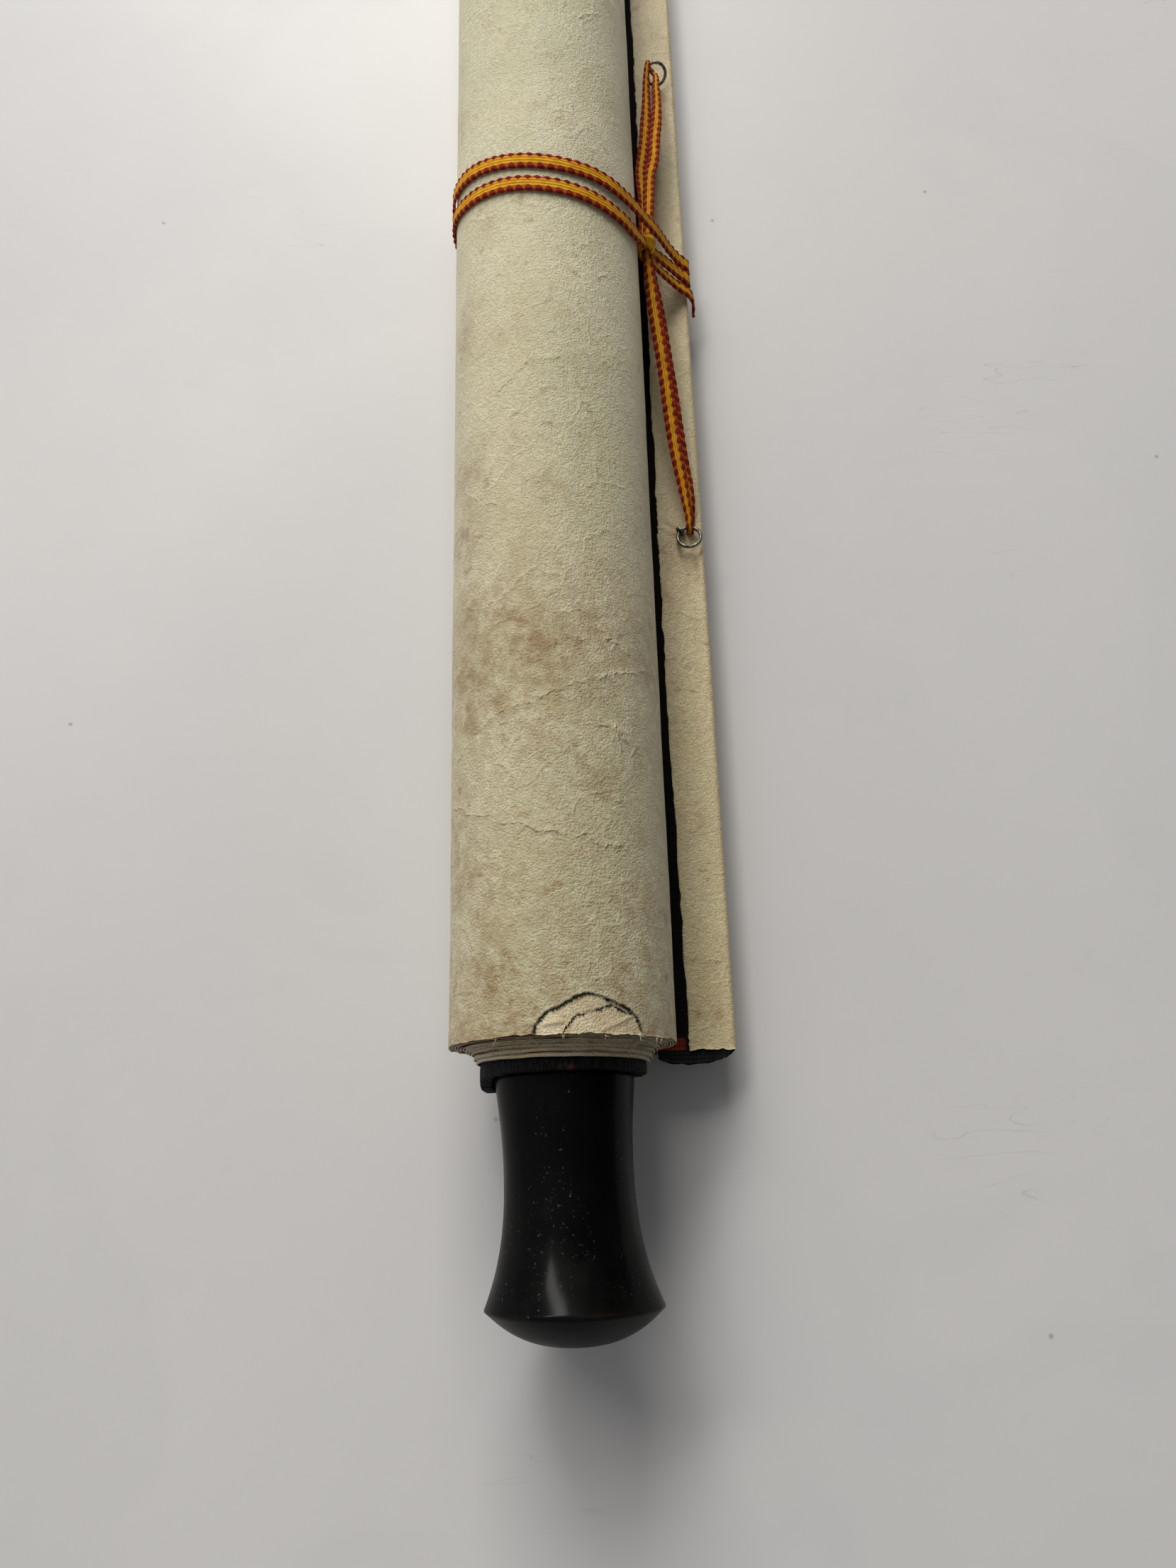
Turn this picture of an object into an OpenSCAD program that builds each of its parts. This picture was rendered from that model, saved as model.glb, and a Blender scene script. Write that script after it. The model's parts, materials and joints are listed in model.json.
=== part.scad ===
// Rolled hanging scroll, tied, lying on a table.
// Origin: on the table, straight below the roller axis, midway along its length.
// +X is the side that the stave lies on, +Y runs along the roller, +Z is up.

/* [Sheet] */
// Width of the mounted sheet, which is the length of the roll
sheet_w = 430; // [360:1:520]
// Outer radius of the roll, taken on its outermost full turn
roll_r = 25; // [24.4:0.1:25]
// Radial pitch from one turn of the sheet to the next
pitch = 0.6; // [0.56:0.01:0.6]
// Thickness of the backing paper
paper_t = 0.28; // [0.2:0.01:0.28]
// Thickness of the silk face and of the painting
silk_t = 0.2; // [0.1:0.01:0.2]
// How far the innermost turn stands out past the outermost one at the near end
cone_out = 3.4; // [0:0.1:5]

/* [Roller and knobs] */
// Radius of the leather collar
collar_r = 18; // [17.8:0.1:18.1]
// Thickness of the leather
leather_t = 0.9; // [0.5:0.1:1]
// How far the collar stands out of the sheet
collar_out = 6.1; // [4:0.1:9]
// Radius of the tenon that the knob is glued on
tenon_r = 9; // [6:0.5:11]
// Length of the tenon
tenon_l = 28; // [15:1:35]
// Radius of the knob where it meets the roller
neck_r = 15.2; // [14:0.1:16.5]
// Radius of the knob at its waist
waist_r = 13.8; // [12.5:0.1:14.2]
// Radius of the knob at its rim
rim_r = 18.7; // [17:0.1:20]
// Height of the dome past the rim
dome_h = 7.2; // [4:0.1:9]

/* [Stave] */
// Radius of the half-round wooden stave
stave_r = 8.7; // [8.5:0.1:8.7]
// Distance from the roller axis to the middle of the stave
stave_x = 30.7; // [30.7:0.1:31]
// How far the stave stands out of the sheet at each end
stave_out = 2.5; // [0:0.1:4]

/* [Rings] */
// Distance between the two hanging rings
ring_gap = 160; // [158:1:162]
// Radius of a ring, to the middle of its wire
ring_r = 3.05; // [3:0.01:3.1]
// Radius of the ring's wire
ring_wire_r = 0.45; // [0.4:0.01:0.5]

/* [Tape] */
// Width of the woven tape
tape_w = 4.6; // [4:0.1:4.6]
// Thickness of the woven tape
tape_t = 0.8; // [0.6:0.1:0.8]

/* [Hidden] */
$fn = 96;

half_w = sheet_w / 2;
gap = 0.02;                     // glue line between two layers
half_turns = 22;                // half turns of the sheet, each an exact arc
last = half_turns - 1;          // the outermost half turn, of which a quarter is there
axis_z = roll_r + pitch / 2 + 1;  // the tape under the roll is 1 mm high
table_z = 1;                    // underside of the sheet where it lies flat
silk_z = table_z + paper_t + gap;
painting_from = 2;              // the half turns that hold the painting
painting_to = 13;
painting_half = 170;            // half the painting's width
hem_w = 3;                      // width of the silk edge past the black border
paper_run_x = 22;               // where the backing paper meets the stave's own paper
silk_run_x = 6;                 // where the silk face meets the top border

cloth_t = 0.3;
wrap_t = 0.3;
stave_z = table_z + stave_r + cloth_t + wrap_t;   // flat of the bare stave's half circle
cloth_top = stave_z + 0.25;
paper_top = cloth_top + wrap_t;
border_x = stave_x - stave_r - cloth_t - 0.3;     // where the border stands up beside the stave
paper_edge_x = stave_x - 2.8;                     // ragged edge of the paper on the stave's flat

rod_end = half_w + collar_out - 0.3;
knob_start = half_w + 7.6;
knob_l = 45.2;                  // from the neck's top to the rim
collar_in = 6;                  // how far the collar reaches into the roll

eye_r = 1.05;
eye_wire_r = 0.38;
eye_z = paper_top + 1.35;
shank_r = 0.8;
shank_l = 8;
ring_far_at = [34.2, ring_gap / 2 - 2, eye_z];
ring_near_at = [33.8, -ring_gap / 2 + 1, eye_z];
ring_far_lean = 45;             // how far the far ring stands up
ring_near_lean = 8;
ring_near_turn = -41.8;         // which way the near ring lies from its eye

// The ground that the tie covers on the roll: angle from +X, place along Y
turn_1_y = [[33, 6.2], [45, 5.8], [63, 6], [81, 6.4], [98, 7.8], [112, 9.3], [130, 11.6],
    [148, 13.8], [173, 16.4], [190, 16], [200, 14.6], [210, 12.5], [225, 8.5], [240, 5],
    [250, 4.3], [270, 4.2]];
turn_2_y = [[26, -2.2], [43, -2.8], [60, -2.1], [76, -1.3], [91, -0.2], [106, 1.1],
    [124, 2.8], [144, 4.6], [173, 8.5], [190, 9.6], [215, 9.8], [240, 9.5], [270, 9.3]];
// How far turn 1 lifts where it crosses turn 2
turn_1_lift = [[180, 0], [194, 0.95], [248, 0.95], [258, 0]];
tie_r = 25.85;                  // radius of the tie's middle on the roll
tie_step = 11;                  // about how many degrees from one ring of the tape to the next

// Routes of the tape: x, y, z, width
cord_far_route = [
    [26.5, 1.6, 25.9, 3], [27.6, 20.4, 23.9, 4.4], [27.5, 35, 21.8, 4.6], [28.6, 43, 20.6, 4.6],
    [30, 56.5, 19, 4.6], [30.5, 64.5, 18.2, 3.6], [30.8, 72, 17.7, 3], [31.1, 77, 17.9, 2.6],
    [31.4, 81, 18.1, 2.4], [31.7, 83.2, 17.8, 2.4], [32.3, 84.2, 16.6, 2.4], [33, 83.7, 15.1, 2.4],
    [33.9, 82, 14.6, 2.4], [34.2, 79.5, 15.2, 2.4], [34, 76, 16.6, 2.6], [33.7, 71, 18.2, 3],
    [33.5, 62.4, 19.8, 3.6], [32.9, 54.4, 20.6, 4.6], [32, 46.4, 21.6, 4.6],
    [31.3, 38.5, 22.6, 4.6], [29.8, 30.8, 23.6, 4.6], [29, 20.2, 25.1, 4.4], [27.6, 1.6, 27.3, 3]
];
cord_near_route = [
    [27.4, 1.4, 27.3, 3], [28.6, -13.2, 25.3, 4.4], [30.9, -33.3, 21.9, 4.6],
    [33.4, -57.8, 17.7, 4.4], [35.4, -71.5, 15.4, 3], [36.1, -76.5, 14.4, 2.4],
    [36.2, -78.2, 14, 2.4], [36.3, -79.3, 13.2, 2.4], [36.4, -79.5, 12.2, 2.4],
    [36.5, -78.8, 11.5, 2.4], [36.7, -76.5, 11.4, 2.6], [36.9, -71.5, 12.9, 3.2],
    [35.3, -57.8, 16, 4.4], [32.9, -33.3, 20.3, 4.6], [30.2, -13.2, 23.8, 4.4],
    [27.4, 1.4, 25.8, 3]
];
tail_route = [
    [28.6, -0.8, 25, 3], [33.4, -0.6, 18.6, 3.6], [37.6, -0.6, 14.2, 3.8], [40, -0.9, 12.4, 4],
    [41.3, -1.4, 10.6, 4], [41.8, -2.4, 8.4, 4], [41.9, -3.4, 6, 4]
];
knot_at = [27.3, 1.5, 26.6];
knot_r = 2.35;
knot_l = 6.4;

paper = [0.78, 0.74, 0.62];
stave_tone = [0.76, 0.70, 0.56];
silk_red = [0.36, 0.07, 0.05];
cloth_black = [0.05, 0.05, 0.05];
wood = [0.60, 0.45, 0.28];
lacquer = [0.08, 0.08, 0.08];
leather = [0.12, 0.12, 0.12];
bronze = [0.25, 0.26, 0.20];
tape_gold = [0.85, 0.55, 0.08];

// ---- the sheet ----

// Outer radius of a half turn. Half turns are counted from the innermost.
function turn_r(k) = roll_r - (last - 1 - k) * pitch / 2;
// Even half turns lie above the axis and odd ones below it, about their own centre
function turn_x(k) = (k % 2 == 0 ? -1 : 1) * pitch / 4;
// The inner turns stand out at the near end and are sunk at the far end
function turn_y(k) = -cone_out * pow(max(last - k, 0) / last, 2.2);

// An arc of one layer: outer radius r, thickness t, between two places along Y
module arc_layer(k, r, t, from_y, to_y, turn = 180)
    translate([turn_x(k), turn_y(k), axis_z])
        rotate([90, 0, 0])
            rotate([0, 0, k % 2 == 0 ? 0 : 180])
                rotate_extrude(angle = turn)
                    translate([r - t, -to_y])
                        square([t, to_y - from_y]);

// One layer of the sheet over some half turns. in is its depth below the outer face.
module layer(from_k, to_k, in, t, from_y, to_y)
    for (k = [from_k : to_k])
        arc_layer(k, turn_r(k) - in, t, from_y, to_y, k == last ? 90 : 180);

// A strip of the sheet that lies flat on the table
module flat_run(from_x, to_x, z, t, from_y, to_y)
    translate([from_x, from_y, z])
        cube([to_x - from_x, to_y - from_y, t]);

module backing_paper()
    color(paper) {
        layer(0, last, 0, paper_t, -half_w, half_w);
        flat_run(turn_x(last), paper_run_x, table_z, paper_t, -half_w, half_w);
    }

// The border that stands up beside the stave and folds over on its flat
module border_strip(from_x, from_y, to_y) {
    flat_run(from_x, border_x + silk_t, silk_z, silk_t, from_y, to_y);
    flat_run(border_x, border_x + silk_t, silk_z, cloth_top + gap + silk_t - silk_z, from_y, to_y);
    flat_run(border_x, paper_edge_x - 0.05, cloth_top + gap, silk_t, from_y, to_y);
}

module face_silk() {
    in = paper_t + gap;
    color(silk_red) {
        layer(0, painting_from - 1, in, silk_t, -half_w, half_w);
        layer(painting_from, painting_to, in, silk_t, -half_w, -painting_half - 0.5);
        layer(painting_from, painting_to, in, silk_t, painting_half + 0.5, half_w);
        layer(painting_to + 1, last, in, silk_t, -half_w, half_w);
        flat_run(turn_x(last), silk_run_x, silk_z, silk_t, -half_w, half_w);
        border_strip(silk_run_x, -half_w, -half_w + hem_w);
        border_strip(silk_run_x, half_w - hem_w, half_w);
    }
}

module painting()
    color("ivory")
        layer(painting_from, painting_to, paper_t + gap, silk_t, -painting_half, painting_half);

module top_border()
    color(cloth_black)
        border_strip(silk_run_x + 0.1, -half_w + hem_w + 0.1, half_w - hem_w - 0.1);

// ---- the stave ----

// Half-round bar, flat side up: radius, height of its flat, length each side of the middle
module half_round(r, top, half_l)
    intersection() {
        translate([stave_x, half_l, stave_z])
            rotate([90, 0, 0])
                cylinder(r = r, h = 2 * half_l);
        translate([stave_x - r - 1, -half_l, 0])
            cube([2 * r + 2, 2 * half_l, top]);
    }

// Side walls that carry the half circle up to the flat of an outer skin
module half_round_skin(r, top, half_l)
    union() {
        half_round(r, stave_z, half_l);
        translate([stave_x - r, -half_l, stave_z])
            cube([2 * r, 2 * half_l, top - stave_z]);
    }

// The two holes that the ring eyes are driven into
module eye_holes()
    for (at = [ring_far_at, ring_near_at])
        translate([at[0], at[1], paper_top - shank_l])
            cylinder(r = shank_r + 0.05, h = shank_l + 1);

module stave_core()
    color(wood)
        difference() {
            half_round(stave_r, stave_z, half_w + stave_out);
            eye_holes();
        }

module stave_cloth()
    color(cloth_black)
        difference() {
            half_round_skin(stave_r + cloth_t, cloth_top, half_w + stave_out);
            half_round(stave_r + 0.02, stave_z + 0.02, half_w + stave_out + 1);
            eye_holes();
        }

module stave_paper()
    color(stave_tone)
        difference() {
            union() {
                half_round_skin(stave_r + cloth_t + wrap_t, paper_top, half_w);
                flat_run(paper_run_x + 0.1, stave_x, table_z, paper_t, -half_w, half_w);
            }
            half_round_skin(stave_r + cloth_t + gap, cloth_top + gap, half_w + 1);
            // the paper goes under the stave, round its right side and back over its flat
            translate([stave_x - stave_r - 2, -half_w - 1, table_z + paper_t])
                cube([stave_r + 2, sheet_w + 2, stave_z - table_z - paper_t]);
            translate([stave_x - stave_r - 2, -half_w - 1, stave_z - 0.01])
                cube([paper_edge_x - stave_x + stave_r + 2, sheet_w + 2, 2]);
            eye_holes();
        }

// ---- rings ----

// A split pin's eye over the stave and its shank in the wood. turn is the eye's hole direction.
module ring_eye(at, turn)
    color(bronze) {
        translate(at)
            rotate([0, 0, turn])
                rotate([90, 0, 0])
                    rotate_extrude()
                        translate([eye_r, 0])
                            circle(r = eye_wire_r, $fn = 32);
        translate([at[0], at[1], paper_top - shank_l + 0.5])
            cylinder(r = shank_r, h = at[2] - eye_r - paper_top + shank_l - 0.5);
    }

// A wire ring hung in its eye. turn is the way it lies and lean is how far it stands up.
module wire_ring(at, turn, lean)
    color(bronze)
        translate(at)
            rotate([0, 0, turn])
                rotate([0, -lean, 0])
                    translate([ring_r, 0, 0])
                        rotate_extrude()
                            translate([ring_r, 0])
                                circle(r = ring_wire_r, $fn = 32);

module eye_far() ring_eye(ring_far_at, 90);
module eye_near() ring_eye(ring_near_at, ring_near_turn);
module ring_far() wire_ring(ring_far_at, 90, ring_far_lean);
module ring_near() wire_ring(ring_near_at, ring_near_turn, ring_near_lean);

// ---- the tape ----

function unit(v) = v / norm(v);
function xyz(p) = [p[0], p[1], p[2]];
function tangent(route, i) =
    unit(xyz(route[min(i + 1, len(route) - 1)]) - xyz(route[max(i - 1, 0)]));
// The tape's width lies along side, squared up to the route
function across(route, i, side) =
    let (t = tangent(route, i)) unit(side - (side * t) * t);
// Eight corners of the flat tape's section, as shares of its width and its thickness
SECTION = [[0.5, 0.2], [0.38, 0.5], [-0.38, 0.5], [-0.5, 0.2],
    [-0.5, -0.2], [-0.38, -0.5], [0.38, -0.5], [0.5, -0.2]];
function tape_ring(route, i, side) =
    let (w = across(route, i, side), h = cross(tangent(route, i), w))
        [for (c = SECTION) xyz(route[i]) + w * c[0] * route[i][3] + h * c[1] * tape_t];

// One flat tape swept along a route
module tape(route, side) {
    n = len(route);
    points = [for (i = [0 : n - 1]) each tape_ring(route, i, side)];
    sides = [for (i = [0 : n - 2], j = [0 : 7])
        let (a = 8 * i + j, b = 8 * i + (j + 1) % 8) each [[b, a, a + 8], [b, a + 8, b + 8]]];
    ends = [[for (j = [0 : 7]) j], [for (j = [7 : -1 : 0]) 8 * (n - 1) + j]];
    color(tape_gold)
        polyhedron(points, concat(sides, ends), convexity = 10);
}

// Round the stave's right side and along the table to the roll's underside
function tie_under(y) = [
    [38.9, y, 13.1, tape_w], [40.2, y, 11.9, tape_w], [40.65, y, 10.4, tape_w],
    [40.3, y, 7.9, tape_w], [39, y, 4.9, tape_w], [36.6, y, 2.2, tape_w],
    [33.8, y, 0.9, tape_w], [30.7, y, 0.5, tape_w], [15, y, 0.5, tape_w]
];
// Round the roll from its underside, up the left and over the top, down to an angle
function tie_over(ys, lift, to) =
    let (n = round((270 - to) / tie_step))
    [
        for (i = [0 : n])
            let (a = 270 - (270 - to) * i / n, r = tie_r + lookup(a, lift))
                [r * cos(a), lookup(a, ys), axis_z + r * sin(a), tape_w]
    ];
tie_route = concat(
    [[28.4, 2.4, 25.8, 3], [33.4, 3.4, 19.6, 4.2]],
    tie_under(4.3),
    tie_over(turn_1_y, turn_1_lift, 33),
    [[30, 7.6, 27.6, tape_w]],
    tie_under(9.2),
    tie_over(turn_2_y, [[0, 0], [360, 0]], 26),
    [[26.7, 0, 30.6, 3.4]]
);

module cord_far() tape(cord_far_route, [1, 0, 0]);
module cord_near() tape(cord_near_route, [1, 0, 0]);
module tie_tape() tape(tie_route, [0, 1, 0]);
module tie_tail() tape(tail_route, [0, 1, 0]);

// The hitch that ties the tape to the hanging cord
module tie_knot()
    color(tape_gold)
        translate(knot_at)
            rotate([90, 0, 0])
                rotate_extrude()
                    intersection() {
                        translate([0, -knot_l / 2])
                            square([knot_r, knot_l]);
                        translate([-knot_l / 2, 0])
                            circle(r = knot_l / 2 + knot_r);
                    }

// ---- roller ----

// Copies a near-end piece, or mirrors it to the far end
module at_end(far)
    mirror([0, far ? 1 : 0, 0])
        translate([0, 0, axis_z])
            rotate([90, 0, 0])
                children();

module roller_rod()
    color(wood) {
        translate([0, rod_end, axis_z])
            rotate([90, 0, 0])
                cylinder(r = collar_r - leather_t - gap, h = 2 * rod_end);
        for (far = [false, true])
            at_end(far)
                translate([0, 0, rod_end - 1])
                    cylinder(r = tenon_r, h = tenon_l + 1);
    }

// A band of leather glued round the end of the rod
module collar(far)
    color(leather)
        at_end(far)
            difference() {
                translate([0, 0, half_w - collar_in])
                    cylinder(r = collar_r, h = collar_in + collar_out);
                translate([0, 0, half_w - collar_in - 1])
                    cylinder(r = collar_r - leather_t, h = collar_in + collar_out + 2);
            }

// Turned profile of the knob, from the rod's end to the dome
module knob_profile() {
    neck = rod_end + 0.02;
    rim = knob_start + knob_l;
    waist = knob_start + 0.4 * knob_l;
    flare = rim_r - waist_r;
    dome_r = (rim_r * rim_r + dome_h * dome_h) / (2 * dome_h);
    polygon(concat(
        [[0, neck], [neck_r, neck], [neck_r, knob_start]],
        // concave side: falls to the waist, then flares out to the rim
        [for (i = [1 : 5])
            let (u = i / 5) [neck_r - (neck_r - waist_r) * sin(90 * u),
                knob_start + (waist - knob_start) * u]],
        [for (i = [1 : 8])
            let (u = i / 8) [waist_r + flare * pow(u, 2.4), waist + (rim - waist) * u]],
        // shallow dome, as an arc
        [for (i = [1 : 8])
            let (u = 1 - i / 8, x = rim_r * u)
                [x, rim + sqrt(dome_r * dome_r - x * x) - dome_r + dome_h]]
    ));
}

module knob(far)
    color(lacquer)
        at_end(far)
            difference() {
                rotate_extrude()
                    knob_profile();
                translate([0, 0, rod_end - 1])
                    cylinder(r = tenon_r + 0.03, h = tenon_l + 1.5);
            }

module collar_near() collar(false);
module collar_far() collar(true);
module knob_near() knob(false);
module knob_far() knob(true);

backing_paper();
face_silk();
painting();
top_border();
stave_paper();
stave_cloth();
stave_core();
eye_far();
eye_near();
ring_far();
ring_near();
cord_far();
cord_near();
tie_tape();
tie_knot();
tie_tail();
roller_rod();
collar_near();
collar_far();
knob_near();
knob_far();
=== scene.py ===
"""Looks for a rolled, tied hanging scroll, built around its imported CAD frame.

The CAD's frame: +Y runs along the roller, +X is the stave's side, +Z is up.
Sizes are in millimetres until a piece is made, where MM turns them into metres. Node scales are per metre.
"""
import json
import math

import bpy
import numpy as np
from mathutils import Euler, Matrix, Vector


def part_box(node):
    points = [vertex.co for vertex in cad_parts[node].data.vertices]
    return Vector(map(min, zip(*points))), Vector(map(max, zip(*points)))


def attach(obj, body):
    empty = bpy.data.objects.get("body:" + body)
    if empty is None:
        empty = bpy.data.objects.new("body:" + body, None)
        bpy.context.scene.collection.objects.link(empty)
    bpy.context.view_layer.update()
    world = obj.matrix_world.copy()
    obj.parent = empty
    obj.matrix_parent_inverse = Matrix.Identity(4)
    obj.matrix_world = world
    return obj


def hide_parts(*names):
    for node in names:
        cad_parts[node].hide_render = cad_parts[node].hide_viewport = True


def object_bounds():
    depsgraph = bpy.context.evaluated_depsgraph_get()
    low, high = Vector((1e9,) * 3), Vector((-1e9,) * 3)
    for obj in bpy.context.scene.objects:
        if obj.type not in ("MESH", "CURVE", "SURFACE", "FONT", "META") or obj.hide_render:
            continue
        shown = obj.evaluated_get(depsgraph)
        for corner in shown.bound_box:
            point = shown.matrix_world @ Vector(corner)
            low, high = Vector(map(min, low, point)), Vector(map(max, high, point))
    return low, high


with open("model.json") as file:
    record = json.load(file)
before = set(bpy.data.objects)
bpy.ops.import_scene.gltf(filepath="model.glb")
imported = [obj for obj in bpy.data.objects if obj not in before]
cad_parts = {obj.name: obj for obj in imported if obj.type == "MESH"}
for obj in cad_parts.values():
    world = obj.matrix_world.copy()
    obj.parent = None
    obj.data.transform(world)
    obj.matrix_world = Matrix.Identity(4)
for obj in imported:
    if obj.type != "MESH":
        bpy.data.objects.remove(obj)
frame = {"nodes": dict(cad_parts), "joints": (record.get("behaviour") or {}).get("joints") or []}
CAD_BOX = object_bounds()
MM = 0.001
JOINT = {j["name"]: j for j in frame["joints"]}
AXIS_Z = JOINT["roller_turn"]["pos_m"][2] / MM     # roller axis above the table
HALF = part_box("stave_paper")[1].y / MM     # half the sheet's width
TABLE_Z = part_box("stave_paper")[0].z / MM     # underside of the sheet
STAVE_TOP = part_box("stave_paper")[1].z / MM
STAVE_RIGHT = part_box("stave_paper")[1].x / MM
END_Y = CAD_BOX[1].y / MM     # tip of a knob
ROLL_R = AXIS_Z - TABLE_Z     # radius where the sheet leaves the table
PITCH = 0.6     # one turn to the next
PAPER_T = 0.28     # thickness of the paper
SILK_T = 0.2     # thickness of the silk
TURNS = 10.75
SHEET_R = 25     # radius that turns degrees round the roll into mm of sheet
STAVE_FLAT_X = 27.8     # where the stave's paper ends, beside the roll
LOOSE_END = (-110, -212)     # that edge runs off square between these, mm along

# ---- camera

cam = bpy.data.objects.new("camera", bpy.data.cameras.new("camera"))
bpy.context.scene.collection.objects.link(cam)
cam.data.sensor_width = 36
cam.data.lens = 27.03
cam.data.clip_start = 0.01
cam.data.clip_end = 50
cam.location = Vector((4.6, -HALF - 27, 290.3)) * MM
cam.rotation_euler = Euler((math.radians(18.38), 0, math.radians(-1.56)))
bpy.context.scene.camera = cam
bpy.context.scene.view_settings.view_transform = "Standard"

# ---- noise


def lattice(ix, iy, iz, seed):
    """A repeatable number from 0 to 1 for each corner of a lattice."""
    h = (ix * 73856093) ^ (iy * 19349663) ^ (iz * 83492791) ^ (seed * 2654435761)
    h = (h ^ (h >> 13)) * 1274126177 & 0xFFFFFFFF
    h = (h ^ (h >> 16)) * 2246822519 & 0xFFFFFFFF
    return ((h ^ (h >> 15)) & 0xFFFFFF) / float(0xFFFFFF)


def noise(x, y, z=0.0, seed=0):
    """Smooth value noise from -1 to 1 over arrays."""
    x, y, z = np.broadcast_arrays(np.asarray(x, float), y, z)
    cell = [np.floor(v).astype(np.int64) for v in (x, y, z)]
    f = [v - c for v, c in zip((x, y, z), cell)]
    f = [v * v * (3 - 2 * v) for v in f]
    total = np.zeros(x.shape)
    for dx in (0, 1):
        for dy in (0, 1):
            for dz in (0, 1):
                w = 1.0
                for d, v in zip((dx, dy, dz), f):
                    w = w * (v if d else 1 - v)
                total += w * lattice(cell[0] + dx, cell[1] + dy, cell[2] + dz, seed)
    return total * 2 - 1


def fbm(x, y, z=0.0, octaves=4, seed=0):
    total, size = 0.0, 1.0
    for k in range(octaves):
        total = total + size * noise(np.asarray(x) * 2**k, np.asarray(y) * 2**k, np.asarray(z) * 2**k, seed + k)
        size /= 2
    return total / 2


def smooth(a, b, v):
    """0 where v is a and 1 where it is b, with soft ends."""
    t = np.clip((v - a) / (b - a), 0, 1)
    return t * t * (3 - 2 * t)


def bell(v, width):
    """1 at v = 0, falling away on both sides."""
    return np.exp(-((v / width) ** 2))


def twice(values):
    """One value for each vertex of a slab, the same inside and out."""
    return np.concatenate([values.ravel(), values.ravel()])


# ---- meshes


def stacked(*parts):
    """Arrays of one shape, or that spread to one, side by side in a new last axis."""
    return np.stack(np.broadcast_arrays(*parts), -1)


def piece(name, verts, faces, material, body, replaces=(), slot=None, uv=None, attrs=None):
    """A mesh object in metres. verts are in mm, uv holds one pair per vertex."""
    mesh = bpy.data.meshes.new(name)
    mesh.from_pydata((np.asarray(verts) * MM).tolist(), [], [list(map(int, f)) for f in faces])
    mesh.validate(clean_customdata=False)
    if uv is not None:
        index = np.zeros(len(mesh.loops), np.int32)
        mesh.loops.foreach_get("vertex_index", index)
        mesh.uv_layers.new(name="UVMap").data.foreach_set("uv", np.asarray(uv, np.float32)[index].ravel())
    for key, values in (attrs or {}).items():
        mesh.attributes.new(key, "FLOAT", "POINT").data.foreach_set("value", np.asarray(values, np.float32))
    mesh.polygons.foreach_set("use_smooth", [True] * len(mesh.polygons))
    mesh.materials.append(material)
    obj = bpy.data.objects.new(name, mesh)
    bpy.context.scene.collection.objects.link(obj)
    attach(obj, body)
    if replaces:
        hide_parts(*replaces)
    return obj


def grid_faces(n, m, start=0, close_n=False, close_m=False, flip=False):
    """Quads over an n by m block of vertices, m running fastest."""
    i, j = np.meshgrid(np.arange(n if close_n else n - 1), np.arange(m if close_m else m - 1), indexing="ij")
    i2, j2 = (i + 1) % n, (j + 1) % m
    quads = stacked(i * m + j, i2 * m + j, i2 * m + j2, i * m + j2).reshape(-1, 4) + start
    return quads[:, ::-1] if flip else quads


def slab(outer, inner):
    """Vertices and faces of a closed thin solid between two n by m by 3 point grids."""
    n, m = outer.shape[:2]
    size = n * m
    rim = [list(range(m)), [i * m + m - 1 for i in range(n)],
           [(n - 1) * m + j for j in range(m - 1, -1, -1)], [i * m for i in range(n - 1, -1, -1)]]
    faces = [grid_faces(n, m), grid_faces(n, m, size, flip=True)]
    for line in rim:
        a = np.array(line)
        faces.append(stacked(a[:-1], a[1:], a[1:] + size, a[:-1] + size)[:, ::-1])
    return np.concatenate([outer.reshape(-1, 3), inner.reshape(-1, 3)]), np.concatenate(faces)


def merged(parts):
    """Joins several (verts, faces) pairs."""
    verts, faces, start = [], [], 0
    for v, f in parts:
        verts.append(v)
        faces += [[int(k) + start for k in face] for face in f]
        start += len(v)
    return np.concatenate(verts), faces


def resample(points, step):
    """A smooth curve through the points, with its points about step apart."""
    p = np.asarray(points, float)
    q = np.concatenate([[2 * p[0] - p[1]], p, [2 * p[-1] - p[-2]]])
    dense = []
    for i in range(1, len(q) - 2):
        a, b, c, d = q[i - 1:i + 3]
        gap = np.linalg.norm((c - b)[:3])
        t = np.linspace(0, 1, max(3, int(gap / step * 2)), endpoint=False)[:, None]
        ta, td = np.linalg.norm((b - a)[:3]), np.linalg.norm((d - c)[:3])
        m1 = ((c - b) / gap * ta + (b - a) / ta * gap) / (ta + gap) * gap
        m2 = ((d - c) / td * gap + (c - b) / gap * td) / (td + gap) * gap
        dense.append((2 * t**3 - 3 * t**2 + 1) * b + (t**3 - 2 * t**2 + t) * m1
                     + (-2 * t**3 + 3 * t**2) * c + (t**3 - t**2) * m2)
    dense = np.concatenate(dense + [q[-2:-1]])
    along = np.concatenate([[0], np.cumsum(np.linalg.norm(np.diff(dense[:, :3], axis=0), axis=1))])
    at = np.linspace(0, along[-1], max(2, int(along[-1] / step)))
    return stacked(*(np.interp(at, along, dense[:, k]) for k in range(p.shape[1]))), at


# ---- materials


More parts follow.
